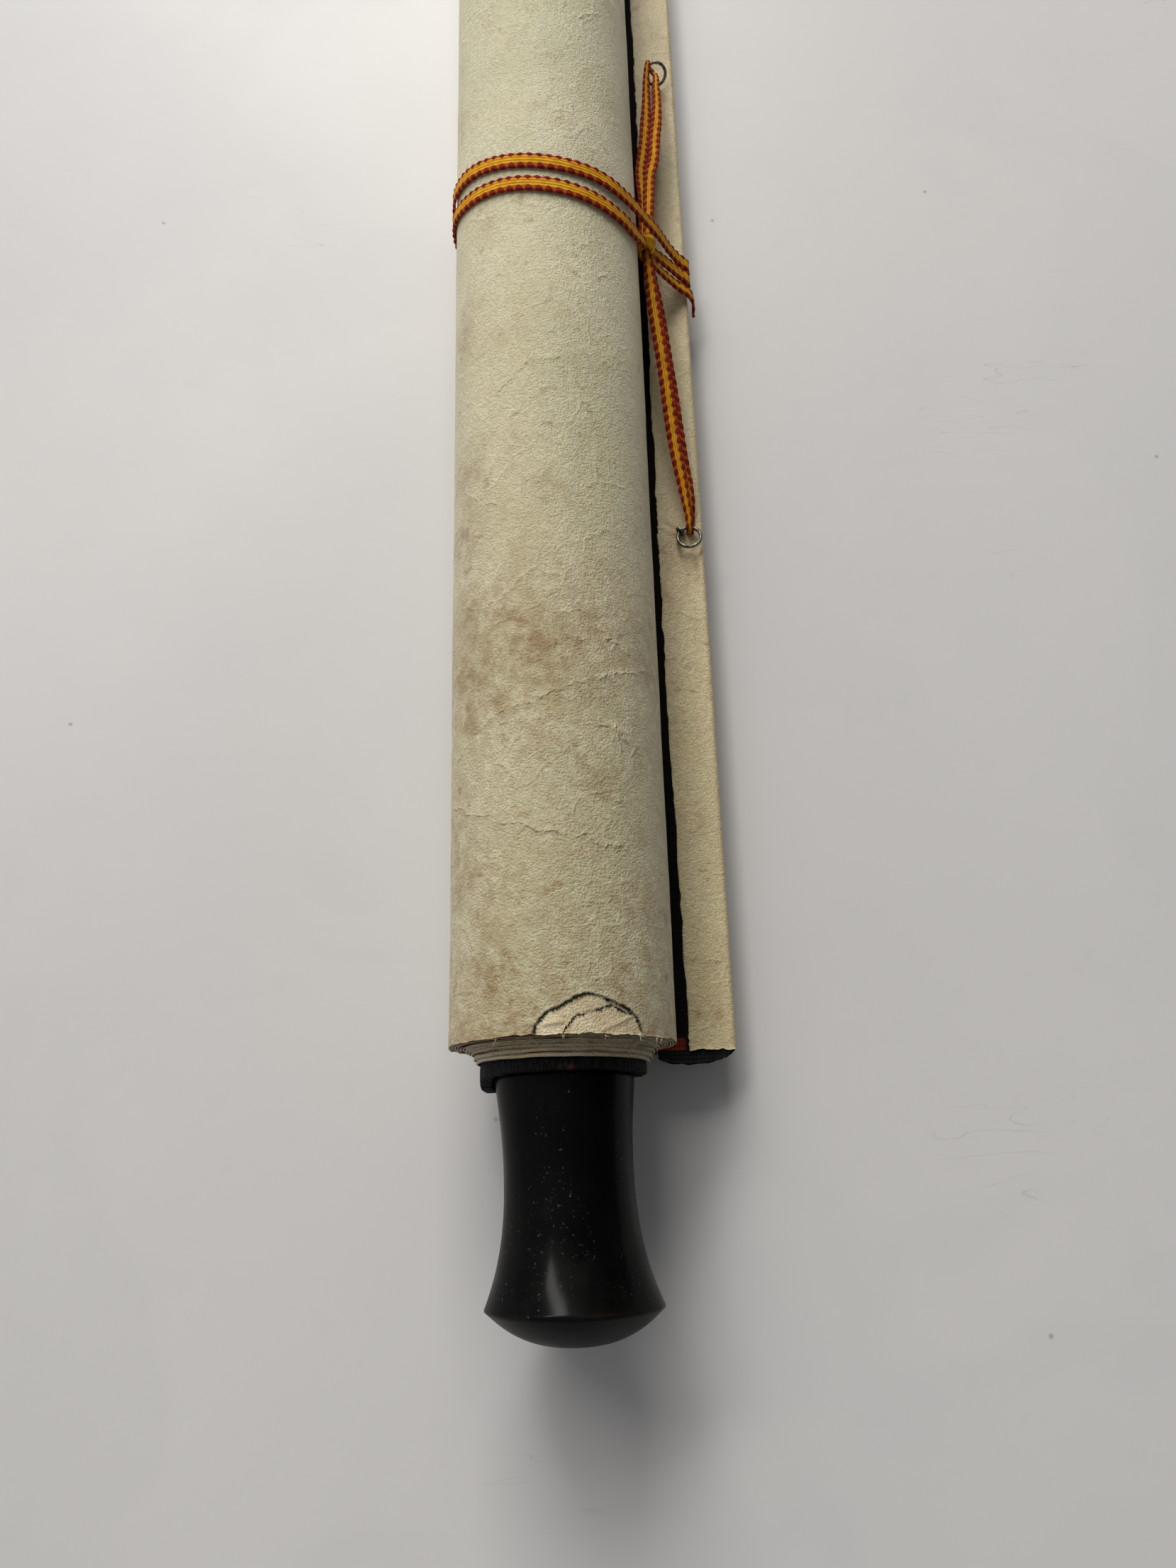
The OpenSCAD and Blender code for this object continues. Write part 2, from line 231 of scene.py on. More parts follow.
class Look:
    """A node material with short calls for the nodes it needs."""

    def __init__(self, name, **sockets):
        self.m = bpy.data.materials.new(name)
        self.m.use_nodes = True
        self.t = self.m.node_tree
        self.t.nodes.clear()
        out = self.t.nodes.new("ShaderNodeOutputMaterial")
        self.b = self.t.nodes.new("ShaderNodeBsdfPrincipled")
        self.t.links.new(self.b.outputs[0], out.inputs[0])
        for key, value in sockets.items():
            self.b.inputs[key.replace("_", " ")].default_value = value
        self.where = self.n("TexCoord").outputs["Object"]

    def n(self, kind, put=None, **settings):
        node = self.t.nodes.new("ShaderNode" + kind)
        for key, value in settings.items():
            setattr(node, key, value)
        for key, value in (put or {}).items():
            socket = node.inputs[key]
            if isinstance(value, bpy.types.NodeSocket):
                self.t.links.new(value, socket)
            else:
                socket.default_value = value
        return node

    def noise(self, scale, detail=4.0, rough=0.55, at=None, warp=0.0):
        return self.n("TexNoise", {"Vector": at or self.where, "Scale": scale, "Detail": detail,
                                   "Roughness": rough, "Distortion": warp}).outputs["Fac"]

    def math(self, what, a, b=0.0, clamp=False):
        return self.n("Math", {0: a, 1: b}, operation=what, use_clamp=clamp).outputs[0]

    def times(self, a, b):
        return self.math("MULTIPLY", a, b)

    def plus(self, *terms, clamp=False):
        total = terms[0]
        for term in terms[1:]:
            total = self.math("ADD", total, term, clamp)
        return total

    def vec(self, what, a, b=(0, 0, 0), out=0):
        return self.n("VectorMath", {0: a, 1: b}, operation=what).outputs[out]

    def scaled(self, a, by):
        return self.n("VectorMath", {0: a, "Scale": by}, operation="SCALE").outputs[0]

    def voronoi(self, scale, at=None, **settings):
        return self.n("TexVoronoi", {"Vector": at or self.where, "Scale": scale}, **settings).outputs

    def step(self, value, low, high, to_low=0.0, to_high=1.0):
        return self.n("MapRange", {"Value": value, "From Min": low, "From Max": high, "To Min": to_low,
                                   "To Max": to_high}, interpolation_type="SMOOTHSTEP").outputs[0]

    def mix(self, fac, a, b):
        node = self.n("Mix", data_type="RGBA")
        for key, value in ((0, fac), (6, a), (7, b)):
            if isinstance(value, bpy.types.NodeSocket):
                self.t.links.new(value, node.inputs[key])
            else:
                node.inputs[key].default_value = value if key == 0 else (*value, 1)
        return node.outputs[2]

    def attr(self, name):
        return self.n("Attribute", attribute_name=name).outputs["Fac"]

    def bump(self, height, distance, strength=1.0):
        return self.n("Bump", {"Height": height, "Distance": distance, "Strength": strength}).outputs[0]

    def set(self, **sockets):
        for key, value in sockets.items():
            self.t.links.new(value, self.b.inputs[key.replace("_", " ")])
        return self


def stretched(look, x, y, z):
    """Coordinates scaled along each axis."""
    return look.n("Mapping", {"Vector": look.where, "Scale": (x, y, z)}).outputs[0]


def paper_look(name, base, dark, stain_and_shade, creases=(), torn=None, relief=1.0):
    """Aged handmade paper: mottled, fibrous, foxed, with fine wrinkles and some long creases."""
    k = Look(name, Roughness=0.5, Specular_IOR_Level=0.75, Sheen_Weight=0.12)
    cloud = k.noise(34, 5, 0.62)
    green = k.noise(17, 4, 0.6, warp=0.5)
    grain = k.noise(760, 4, 0.62)
    tooth = k.noise(2100, 3, 0.6)
    fibre = k.noise(1, 4, 0.62, at=stretched(k, 620, 1500, 620), warp=0.8)
    colour = k.mix(k.step(cloud, 0.34, 0.64), base, dark)
    colour = k.mix(k.step(green, 0.42, 0.66, 0, 0.5), colour, [base[0] * 0.78, base[1] * 0.85, base[2] * 0.80])
    colour = k.mix(k.step(grain, 0.38, 0.66, 0, 0.34), colour, [c * 0.66 for c in dark])
    colour = k.mix(k.step(fibre, 0.52, 0.72, 0, 0.30), colour, [min(1, c * 1.22) for c in base])
    colour = k.mix(k.step(tooth, 0.48, 0.64, 0, 0.5), colour, [c * 0.62 for c in dark])
    blot = k.times(k.step(k.noise(60, 5, 0.66), 0.55, 0.74), 0.42)
    dots = k.times(k.step(k.noise(230, 4, 0.6), 0.60, 0.72), 0.55)
    # This attribute holds real stains and also painted shade: darker towards the roll's near end, at the foot of the
    # tear's edge, between the turns and in the near pin's furrow.
    wear = k.times(k.attr("stain_and_shade"), k.step(k.noise(300, 5, 0.7), 0.30, 0.66, 0.35, 1.2))
    brown = k.plus(k.math("MAXIMUM", blot, dots), wear, clamp=True)
    colour = k.mix(brown, colour, stain_and_shade)
    speck = k.voronoi(52.0, voronoi_dimensions="2D")
    chosen = k.step(k.n("SeparateColor", {0: speck["Color"]}).outputs[0], 0.62, 0.66)
    fleck = k.times(k.step(speck["Distance"], 0.006, 0.014, 0.75, 0), chosen)
    colour = k.mix(fleck, colour, [c * 0.22 for c in stain_and_shade])
    blur = k.n("TexNoise", {"Vector": k.where, "Scale": 70.0, "Detail": 4.0}).outputs["Color"]
    bent = k.vec("ADD", k.where, k.scaled(blur, 0.012))
    cells = k.voronoi(66.0, bent, feature="DISTANCE_TO_EDGE")["Distance"]
    wrinkle = k.times(k.step(cells, 0.0, 0.05, 1, 0), k.step(k.noise(75, 3, 0.6), 0.47, 0.60))
    small = k.voronoi(190.0, bent, feature="DISTANCE_TO_EDGE")["Distance"]
    crinkle = k.times(k.step(small, 0.0, 0.12, 1, 0), k.step(k.noise(48, 3, 0.6), 0.44, 0.62))
    height = k.plus(k.times(fibre, 0.36), k.times(grain, 0.46), k.times(tooth, 0.85),
                    k.times(wrinkle, 0.24), k.times(crinkle, 0.18))
    if creases:
        line, side = crease_masks(k, creases)
        height = k.plus(height, k.times(line, 0.6), side)
        # painted shade: the colour is darkened along each long crease
        colour = k.mix(k.times(line, 0.3), colour, [c * 0.6 for c in dark])
    if torn:
        colour = k.mix(k.attr("torn"), colour, bared(k, torn))
        # near-black: a dark line along the tear's edges, and painted shade where the turns run under each other
        colour = k.mix(k.attr("dark_rim_and_shade"), colour, (0.012, 0.013, 0.008))
    normal = k.bump(height, 0.00066 * relief, 1.0)
    k.set(Base_Color=colour, Normal=normal, Roughness=k.step(grain, 0.3, 0.7, 0.30, 0.52))
    return k.m


def crease_masks(k, creases):
    """Masks of the long creases and of the soft slopes beside them. Each crease is a pair of UV points."""
    uv = k.n("UVMap", uv_map="UVMap").outputs[0]
    blur = k.n("TexNoise", {"Vector": uv, "Scale": 260.0, "Detail": 3.0}).outputs["Color"]
    here = k.vec("ADD", uv, k.scaled(k.vec("SUBTRACT", blur, (0.5, 0.5, 0.5)), 0.0042))
    nearest = None
    for (ax, ay), (bx, by) in creases:
        run = (bx - ax, by - ay, 0)
        away = k.vec("SUBTRACT", here, (ax, ay, 0))
        t = k.math("DIVIDE", k.vec("DOT_PRODUCT", away, run, "Value"), run[0]**2 + run[1]**2, clamp=True)
        off = k.vec("DISTANCE", away, k.scaled(run, t), "Value")
        nearest = off if nearest is None else k.math("MINIMUM", nearest, off)
    broken = k.step(k.noise(110, 3, 0.5), 0.34, 0.54, 0.15, 1)
    line = k.times(k.step(nearest, 0.0, 0.00045, 1, 0), broken)
    return line, k.times(k.step(nearest, 0.0002, 0.0014, 1, 0), 0.2)


def bared(k, tone):
    """The paler, smoother layer that a tear lays bare."""
    soft = k.noise(160, 4, 0.6)
    return k.mix(k.step(soft, 0.36, 0.68, 0, 0.75), tone, [tone[0] * 0.72, tone[1] * 0.62, tone[2] * 0.5])


THREAD = 0.0005     # pitch of a thread, m


def cloth_look(name, base, thread, lint=0.0, rough=0.9):
    """Plain woven cloth."""
    k = Look(name, Roughness=rough, Specular_IOR_Level=0.1)
    warp, weft = [k.n("TexWave", {"Vector": k.where, "Scale": 1 / THREAD / 6.283, "Distortion": 0.4},
                      bands_direction=way).outputs["Fac"] for way in "YX"]
    weave = k.times(k.plus(warp, weft), 0.5)
    colour = k.mix(k.times(weave, k.noise(300, 3)), base, thread)
    if lint:
        colour = k.mix(k.step(k.noise(1100, 3, 0.6, warp=2.0), 0.72, 0.8, 0, lint), colour, (0.25, 0.22, 0.15))
    return k.set(Base_Color=colour, Normal=k.bump(weave, 0.00012, 0.7)).m


def wood_look(name, light, dark, rough=0.6):
    k = Look(name, Roughness=rough, Specular_IOR_Level=0.3)
    rings = k.noise(1, 5, 0.6, at=stretched(k, 260, 12, 260), warp=0.4)
    pores = k.noise(1, 3, 0.5, at=stretched(k, 1600, 120, 1600))
    colour = k.mix(k.step(rings, 0.35, 0.66), light, dark)
    colour = k.mix(k.step(pores, 0.6, 0.72, 0, 0.5), colour, [c * 0.4 for c in dark])
    return k.set(Base_Color=colour, Normal=k.bump(k.plus(rings, pores), 0.0001, 0.5)).m


def tape_look():
    """Woven tape: gold lengthwise threads between red toothed edges. UV is along, in metres, and across, -1 to 1."""
    k = Look("woven_tape", Roughness=0.7, Specular_IOR_Level=0.1)
    uv = k.n("SeparateXYZ", {0: k.n("UVMap", uv_map="UVMap").outputs[0]})
    along, across = uv.outputs[0], uv.outputs[1]
    edge = k.math("ABSOLUTE", across)
    turn = k.times(along, 2 * math.pi / TOOTH / MM)
    lean = k.times(across, 1.5)
    tooth = k.math("SINE", k.plus(turn, lean))
    wob = k.times(k.math("SUBTRACT", k.noise(700, 2), 0.5), 0.22)
    inner = k.plus(edge, k.plus(k.times(tooth, 0.15), wob))
    red = k.step(inner, 0.46, 0.58)
    gap = k.times(k.step(tooth, -0.35, -0.92), k.step(edge, 0.4, 0.62))
    rib = k.math("SINE", k.times(across, 5 * math.pi))
    twist = k.math("SINE", k.plus(k.times(along, 2 * math.pi / THREAD), k.times(across, 9)))
    tone = k.noise(500, 4, 0.6)
    gold = k.mix(k.step(tone, 0.3, 0.7), (0.84, 0.44, 0.010), (0.60, 0.25, 0.004))
    gold = k.mix(k.step(rib, 0.0, -1.0, 0, 0.8), gold, (0.26, 0.07, 0.002))
    gold = k.mix(k.step(twist, 0.3, 1.0, 0, 0.25), gold, (0.98, 0.62, 0.03))
    crimson = k.mix(k.step(tone, 0.35, 0.7), (0.25, 0.012, 0.007), (0.10, 0.004, 0.003))
    crimson = k.mix(k.step(twist, 0.2, 1.0, 0, 0.3), crimson, (0.36, 0.03, 0.012))
    colour = k.mix(red, gold, crimson)
    colour = k.mix(k.times(gap, 0.85), colour, (0.46, 0.11, 0.006))
    relief = k.plus(k.times(twist, 0.3), k.times(rib, 0.35))
    relief = k.plus(relief, k.times(k.noise(1800, 3), 0.5))
    return k.set(Base_Color=colour, Normal=k.bump(relief, 0.00012, 0.8)).m


def lacquer_look():
    k = Look("black_lacquer", Roughness=0.36, Specular_IOR_Level=0.02, Coat_Weight=0.16, Coat_Roughness=0.17)
    streak = k.noise(1, 4, 0.6, at=stretched(k, 500, 30, 500))
    cloud = k.noise(60, 4, 0.6)
    zone = k.step(k.noise(1, 3, at=stretched(k, 110, 26, 110)), 0.50, 0.60)
    dust = k.times(k.step(k.noise(1500, 2, 0.6), 0.655, 0.72), zone)
    colour = k.mix(k.step(cloud, 0.35, 0.7), (0.0010, 0.0011, 0.0012), (0.0030, 0.0028, 0.0025))
    colour = k.mix(k.step(streak, 0.62, 0.78, 0, 0.35), colour, (0.011, 0.009, 0.007))
    colour = k.mix(k.step(k.noise(45, 5, 0.7), 0.52, 0.72, 0, 0.5), colour, (0.010, 0.0095, 0.008))
    colour = k.mix(k.times(dust, 0.42), colour, (0.16, 0.15, 0.13))
    colour = k.mix(k.attr("rub"), colour, (0.03, 0.022, 0.015))
    rough = k.plus(k.step(cloud, 0.3, 0.7, 0.26, 0.46), k.times(dust, 0.3))
    height = k.plus(k.times(streak, 0.4), k.noise(240, 3))
    return k.set(Base_Color=colour, Roughness=rough, Normal=k.bump(height, 0.00012, 0.4)).m


def leather_look():
    k = Look("black_leather", Roughness=0.7, Specular_IOR_Level=0.14)
    cells = k.voronoi(1.0, stretched(k, 900, 420, 900), feature="DISTANCE_TO_EDGE")["Distance"]
    crack = k.step(cells, 0.0, 0.25)
    fold = k.noise(1, 4, 0.6, at=stretched(k, 700, 160, 700), warp=1.0)
    colour = k.mix(k.step(fold, 0.35, 0.7), (0.002, 0.0022, 0.0026), (0.008, 0.008, 0.009))
    colour = k.mix(k.step(fold, 0.66, 0.8, 0, 0.35), colour, (0.03, 0.027, 0.025))
    rubbed = k.times(k.attr("rub"), k.step(k.noise(500, 4), 0.35, 0.6))
    colour = k.mix(rubbed, colour, (0.07, 0.028, 0.014))
    height = k.plus(crack, k.times(fold, 1.4))
    return k.set(Base_Color=colour, Normal=k.bump(height, 0.00025, 0.9)).m


def bronze_look():
    k = Look("dark_bronze", Roughness=0.36, Metallic=0.85)
    age = k.noise(900, 4, 0.6)
    colour = k.mix(k.step(age, 0.35, 0.68), (0.27, 0.26, 0.22), (0.07, 0.078, 0.06))
    return k.set(Base_Color=colour, Roughness=k.step(age, 0.3, 0.7, 0.28, 0.6), Normal=k.bump(age, 0.00006, 0.5)).m


def floor_look():
    k = Look("table", Roughness=0.34, Specular_IOR_Level=0.22)
    smudge = k.noise(3.5, 5, 0.6)
    patch = k.noise(9, 4, 0.6, warp=0.8)
    fine = k.noise(120, 4, 0.6)
    colour = k.mix(k.step(smudge, 0.35, 0.65), (0.69, 0.675, 0.662), (0.655, 0.642, 0.635))
    colour = k.mix(k.step(patch, 0.48, 0.56, 0, 0.22), colour, (0.62, 0.61, 0.61))
    colour = k.mix(k.step(fine, 0.55, 0.8, 0, 0.16), colour, (0.60, 0.585, 0.575))
    spots = k.voronoi(17.0, voronoi_dimensions="2D")
    chosen = k.step(k.n("SeparateColor", {0: spots["Color"]}).outputs[0], 0.7, 0.72)
    speck = k.times(k.step(spots["Distance"], 0.004, 0.014, 0.5, 0), chosen)
    scrape = k.noise(1, 2, 0.5, at=stretched(k, 14, 90, 1), warp=1.6)
    fine_line = k.step(k.math("ABSOLUTE", k.math("SUBTRACT", scrape, 0.5)), 0.0, 0.008, 1, 0)
    scratch = k.times(fine_line, k.step(k.noise(11, 3, 0.6), 0.60, 0.66, 0, 0.22))
    colour = k.mix(k.math("MAXIMUM", speck, scratch), colour, (0.20, 0.19, 0.18))
    return k.set(Base_Color=colour, Roughness=k.step(smudge, 0.3, 0.7, 0.34, 0.46),
                 Normal=k.bump(fine, 0.00012, 0.3)).m


TOOTH = 2.6     # pitch of the tape's red teeth, mm
PAPER = (0.88, 0.80, 0.535)
PAPER_DARK = (0.75, 0.665, 0.405)
# colour of the stains, and of the painted shade that the same attribute mixes in
STAIN_AND_SHADE = (0.37, 0.25, 0.105)
BARE = (0.84, 0.72, 0.46)


def arc_at(theta, y):
    """UV of a point on the roll: degrees from +X and mm along, in metres of sheet."""
    return math.radians(270 - theta) * SHEET_R * MM, y * MM


# Long creases in the outer turn: (degrees from +X, mm along)
CREASE_LINES = [
    [(153, -151), (140, -148), (113, -144), (97, -142), (68, -137), (27, -131)],
    [(160, -162), (118, -170), (94, -173), (54, -176)],
    [(58, -148), (56, -156), (58, -165)],
    [(67, -114), (58, -119), (53, -124), (61, -127), (48, -129)],
    [(120, -60), (96, -52), (80, -54)],
    [(75, -20), (60, -26), (52, -24)],
    [(70, 60), (50, 66)],
]
segments = [(arc_at(*a), arc_at(*b)) for line in CREASE_LINES for a, b in zip(line, line[1:])]

roll_paper = paper_look("aged_paper", PAPER, PAPER_DARK, STAIN_AND_SHADE, segments, BARE)
turn_paper = paper_look("paper_turns", (0.66, 0.54, 0.33), (0.54, 0.42, 0.24), STAIN_AND_SHADE, relief=0.4)
stave_paper = paper_look("stave_paper", (0.80, 0.665, 0.385), (0.73, 0.585, 0.32), (0.34, 0.19, 0.07), relief=0.5)
red_silk = cloth_look("red_silk", (0.10, 0.011, 0.005), (0.22, 0.035, 0.010), rough=0.7)
black_cloth = cloth_look("black_cloth", (0.0025, 0.0025, 0.003), (0.006, 0.006, 0.007), lint=0.05)
end_cloth = cloth_look("end_cloth", (0.004, 0.006, 0.004), (0.02, 0.03, 0.022), lint=0.15)
char_fibre = cloth_look("char_fibre", (0.008, 0.010, 0.007), (0.02, 0.026, 0.018))
brown_fibre = cloth_look("brown_fibre", (0.10, 0.05, 0.025), (0.16, 0.09, 0.05))
pale_fibre = cloth_look("pale_fibre", (0.55, 0.50, 0.38), (0.70, 0.66, 0.52))
roller_wood = wood_look("roller_wood", (0.42, 0.28, 0.15), (0.28, 0.17, 0.08))
stave_wood = wood_look("stave_wood", (0.035, 0.018, 0.010), (0.012, 0.007, 0.004), 0.8)
tape_weave = tape_look()
lacquer = lacquer_look()
leather = leather_look()
bronze = bronze_look()

# ---- tapes

TAPE_W, TAPE_T = 4.6, 0.8
TIE_R, TIE_STEP = 25.85, 11
TURN_1_Y = [(33, 6.2), (45, 5.8), (63, 6), (81, 6.4), (98, 7.8), (112, 9.3), (130, 11.6), (148, 13.8),
            (173, 16.4), (190, 16), (200, 14.6), (210, 12.5), (225, 8.5), (240, 5), (250, 4.3), (270, 4.2)]
TURN_2_Y = [(26, -2.2), (43, -2.8), (60, -2.1), (76, -1.3), (91, -0.2), (106, 1.1), (124, 2.8),
            (144, 4.6), (173, 8.5), (190, 9.6), (215, 9.8), (240, 9.5), (270, 9.3)]
LIFT = [(180, 0), (194, 0.95), (248, 0.95), (258, 0)]
CORD_FAR = [
    (26.5, 1.6, 25.9, 3), (27.6, 20.4, 23.9, 4.4), (27.5, 35, 21.8, 4.6), (28.6, 43, 20.6, 4.6),
    (30, 56.5, 19, 4.6), (30.5, 64.5, 18.2, 3.6), (30.8, 72, 17.7, 3), (31.1, 76, 17.9, 2.6),
    (31.4, 79, 18, 2.2), (31.7, 81.2, 17.5, 1.8), (31.9, 82.7, 16.3, 1.7), (32.1, 82.4, 15.2, 1.7),
    (33, 81, 14.6, 1.8), (33.3, 80, 14.8, 2), (33.9, 78.3, 15.4, 2.3), (34, 76, 16.6, 2.6), (33.7, 71, 18.2, 3),
    (33.5, 62.4, 19.8, 3.6), (32.9, 54.4, 20.6, 4.6), (32, 46.4, 21.6, 4.6),
    (31.3, 38.5, 22.6, 4.6), (29.8, 30.8, 23.6, 4.6), (29, 20.2, 25.1, 4.4), (27.6, 1.6, 27.3, 3)]
CORD_NEAR = [
    (27.4, 1.4, 27.3, 3), (28.6, -13.2, 25.3, 4.4), (30.9, -33.3, 21.9, 4.6), (33.4, -57.8, 17.7, 4.4),
    (35.4, -71.5, 15.4, 3), (36.1, -76.5, 14.4, 2.4), (36.2, -78.2, 14, 2.4), (36.3, -79.3, 13.2, 2.4),
    (36.4, -79.5, 12.2, 2.4), (36.5, -78.8, 11.5, 2.4), (36.7, -76.5, 11.4, 2.6), (36.8, -71.5, 12.9, 3.2),
    (34.8, -57.8, 16, 4.4), (32, -33.3, 20.3, 4.6), (29.5, -13.2, 23.8, 4.4), (27.4, 1.4, 25.8, 3)]
TAIL = [(28.6, -0.8, 25, 3), (33.4, -0.6, 18.6, 3.6), (37.6, -0.6, 14.2, 3.8), (40, -0.9, 12.4, 4),
        (41.3, -1.4, 10.6, 4), (41.8, -2.4, 8.4, 4), (41.9, -3.4, 6, 4)]
KNOT = (27.3, 1.5, 26.6)


def looked_up(at, table):
    xs, ys = zip(*table)
    return float(np.interp(at, xs, ys))


def under(y):
    """Round the stave's right side and along the table to the roll's underside."""
    return [(x, y, z, TAPE_W) for x, z in ((38.9, 13.1), (40.2, 11.9), (40.65, 10.4), (40.3, 7.9),
                                           (39, 4.9), (36.6, 2.2), (33.8, 0.9), (30.7, 0.5), (15, 0.5))]


def over(ys, lift, to):
    """Round the roll from its underside, up the left and over the top, down to an angle."""
    n = round((270 - to) / TIE_STEP)
    made = []
    for i in range(n + 1):
        a = 270 - (270 - to) * i / n
        r = TIE_R + looked_up(a, lift)
        made.append((r * math.cos(math.radians(a)), looked_up(a, ys), AXIS_Z + r * math.sin(math.radians(a)), TAPE_W))
    return made


TIE = ([(28.4, 2.4, 25.8, 3), (33.4, 3.4, 19.6, 4.2)] + under(4.3) + over(TURN_1_Y, LIFT, 33)
       + [(30, 7.6, 27.6, TAPE_W)] + under(9.2) + over(TURN_2_Y, [(0, 0), (360, 0)], 26)
       + [(26.7, 0, 30.6, 3.4)])


def tape(name, route, side, node, seed, slim=1.0, core=1.0):
    """A woven tape along a route of (x, y, z, width), with ribs down its middle and toothed edges.

    side is across the tape, slim narrows it, and core is the share of its width that its gold middle is drawn for.
    """
    line, at = resample(route, 0.3)
    p, width = line[:, :3], line[:, 3] * slim
    t = np.gradient(p, axis=0)
    t /= np.linalg.norm(t, axis=1, keepdims=True)
    w = np.array(side, float) - (t @ np.array(side, float))[:, None] * t
    w /= np.linalg.norm(w, axis=1, keepdims=True)
    h = np.cross(t, w)
    v = np.concatenate([np.linspace(-1, 1, 15), [0.97, 0.5, 0, -0.5, -0.97]])
    top = np.arange(len(v)) < 15
    phase = 2 * np.pi * at[:, None] / TOOTH + 1.5 * v
    tooth = np.sin(phase)
    edge = smooth(0.45, 0.75, np.abs(v))
    rib = 0.035 * np.cos(v * 5 * np.pi)
    body = 0.5 * TAPE_T * (1 - 0.35 * np.abs(v) ** 4)
    lift = body + np.where(top, edge * 0.13 * (tooth + 0.4) + (1 - edge) * rib, -0.04)
    lift = np.where(np.abs(v) >= 1, 0, lift)
    lift = np.where(top, lift, -lift)
    half = width[:, None] / 2 * (1 + 0.045 * tooth * edge)
    half = half + 0.05 * noise(at[:, None] / 0.9, v * 3 + 9, seed=seed)
    fold = 0.06 * noise(at[:, None] / 3, v * 1.5, seed=seed + 5)
    pts = p[:, None] + w[:, None] * (half * v)[..., None] + h[:, None] * (lift + fold)[..., None]
    pts[..., 2] = np.maximum(pts[..., 2], 0.03)         # above the table
    n, m = pts.shape[:2]
    faces = grid_faces(n, m, close_m=True, flip=True).tolist()
    faces += [list(range(m)), list(range(n * m - 1, (n - 1) * m - 1, -1))]
    uv = stacked(at[:, None] * MM, v / core).reshape(-1, 2)
    obj = piece(name, pts.reshape(-1, 3), faces, tape_weave, "sheet", [node], "woven_tape", uv)
    return obj, (p[::3] * MM).tolist(), float(np.linalg.norm(np.diff(p, axis=0), axis=1).sum()) * MM


FAR_SLIM, NEAR_SLIM = 0.72, 0.80      # the hanging tapes are curled, so they look narrower
far_tape, far_line, far_long = tape("hanging_tape_far", CORD_FAR, (1, 0, 0), "cord_far", 3, FAR_SLIM, 0.68)
near_tape, near_line, near_long = tape("hanging_tape_near", CORD_NEAR, (1, 0, 0), "cord_near", 8, NEAR_SLIM, 0.74)
tie, tie_line, tie_long = tape("tie_tape_round_roll", TIE, (0, 1, 0), "tie_tape", 14)
tail = tape("tie_tail_end", TAIL, (0, 1, 0), "tie_tail", 21, 0.9, 0.85)[0]


def hitch():
    """The tape's fold round the hanging tapes: a short band wound once and a half, pinched at both sides."""
    n, m = 170, 17
    a = np.linspace(math.radians(-160), math.radians(330), n)[:, None]
    v = np.linspace(-1, 1, m)[None]
    r = (2.55 + 0.55 * (a - a.min()) / np.ptp(a)) * (1 - 0.36 * np.abs(v) ** 2.4) + 0.10 * np.cos(v * 5 * np.pi)
    y = KNOT[1] + 0.3 + v * 2.3 + 0.5 * np.sin(a) - 0.12 * a
    x = KNOT[0] + r * np.cos(a) * 0.95 + 0.15 * v
    z = KNOT[2] + 1.2 + r * np.sin(a) * 1.1
    outer = stacked(x, y, z)
    away = outer - np.array([KNOT[0], 0, KNOT[2]])
    away[..., 1] = 0
    away /= np.linalg.norm(away, axis=-1, keepdims=True)
    verts, faces = slab(outer, outer - away * 0.5)
    uv = stacked(a * 2.2 * MM, v * 0.40).reshape(-1, 2)
    return piece("hitch_fold", verts, faces, tape_weave, "sheet", ["tie_knot"], "woven_tape",
                 np.concatenate([uv, uv]))


knot = hitch()

# ---- the rolled sheet


def turned(s, away=0.0):
    """A point of the sheet in XZ, s degrees along the winding, and the way it faces. Below 0 it lies on the table."""
    s = np.asarray(s, float)
    th = np.radians(270 - np.maximum(s, 0))
    r = ROLL_R - PITCH * np.maximum(s, 0) / 360 + away
    flat = np.minimum(s, 0) * math.pi / 180 * SHEET_R
    return r * np.cos(th) - flat, AXIS_Z + r * np.sin(th), np.cos(th), np.sin(th)


OUTER_TO = 430     # degrees of winding that the finely modelled outer turn covers


def edge_out(s):
    """How far a turn stands out at the near end, mm."""
    return 4.0 * (np.maximum(s, 0) / (TURNS * 360)) ** 3.0


# The tear at the near edge: across from the top of the roll, in from the edge, both mm
TEAR_OUTER = [(-6.4, -0.6), (-5.4, 1.4), (-4.2, 3.2), (-2.2, 4.8), (1.2, 6.3), (3.6, 7.7), (5.0, 8.0), (7.6, 7.8),
              (10.2, 6.9), (13, 5.7), (15.2, 4.6), (17, 3.0), (17.7, 0.9), (17.5, -0.6)]
TEAR_INNER = [(0.0, -0.6), (1.6, 2.2), (3.0, 3.4), (5, 4.0), (7.8, 4.9), (10, 5.6), (11.8, 5.4), (13.6, 4.3),
              (17.3, 3.4), (17.6, -0.6)]


def ragged(points, step, size, seed):
    """A torn outline through the points."""
    line, at = resample([(a, b, 0) for a, b in points], step)
    line = line[:, :2]
    t = np.gradient(line, axis=0)
    side = stacked(-t[:, 1], t[:, 0]) / np.linalg.norm(t, axis=1, keepdims=True)
    wave = 0.55 * noise(at / 1.3, 0.3, seed=seed) + 0.45 * noise(at / 0.45, 4.3, seed=seed)
    return line + side * (size * wave)[:, None]


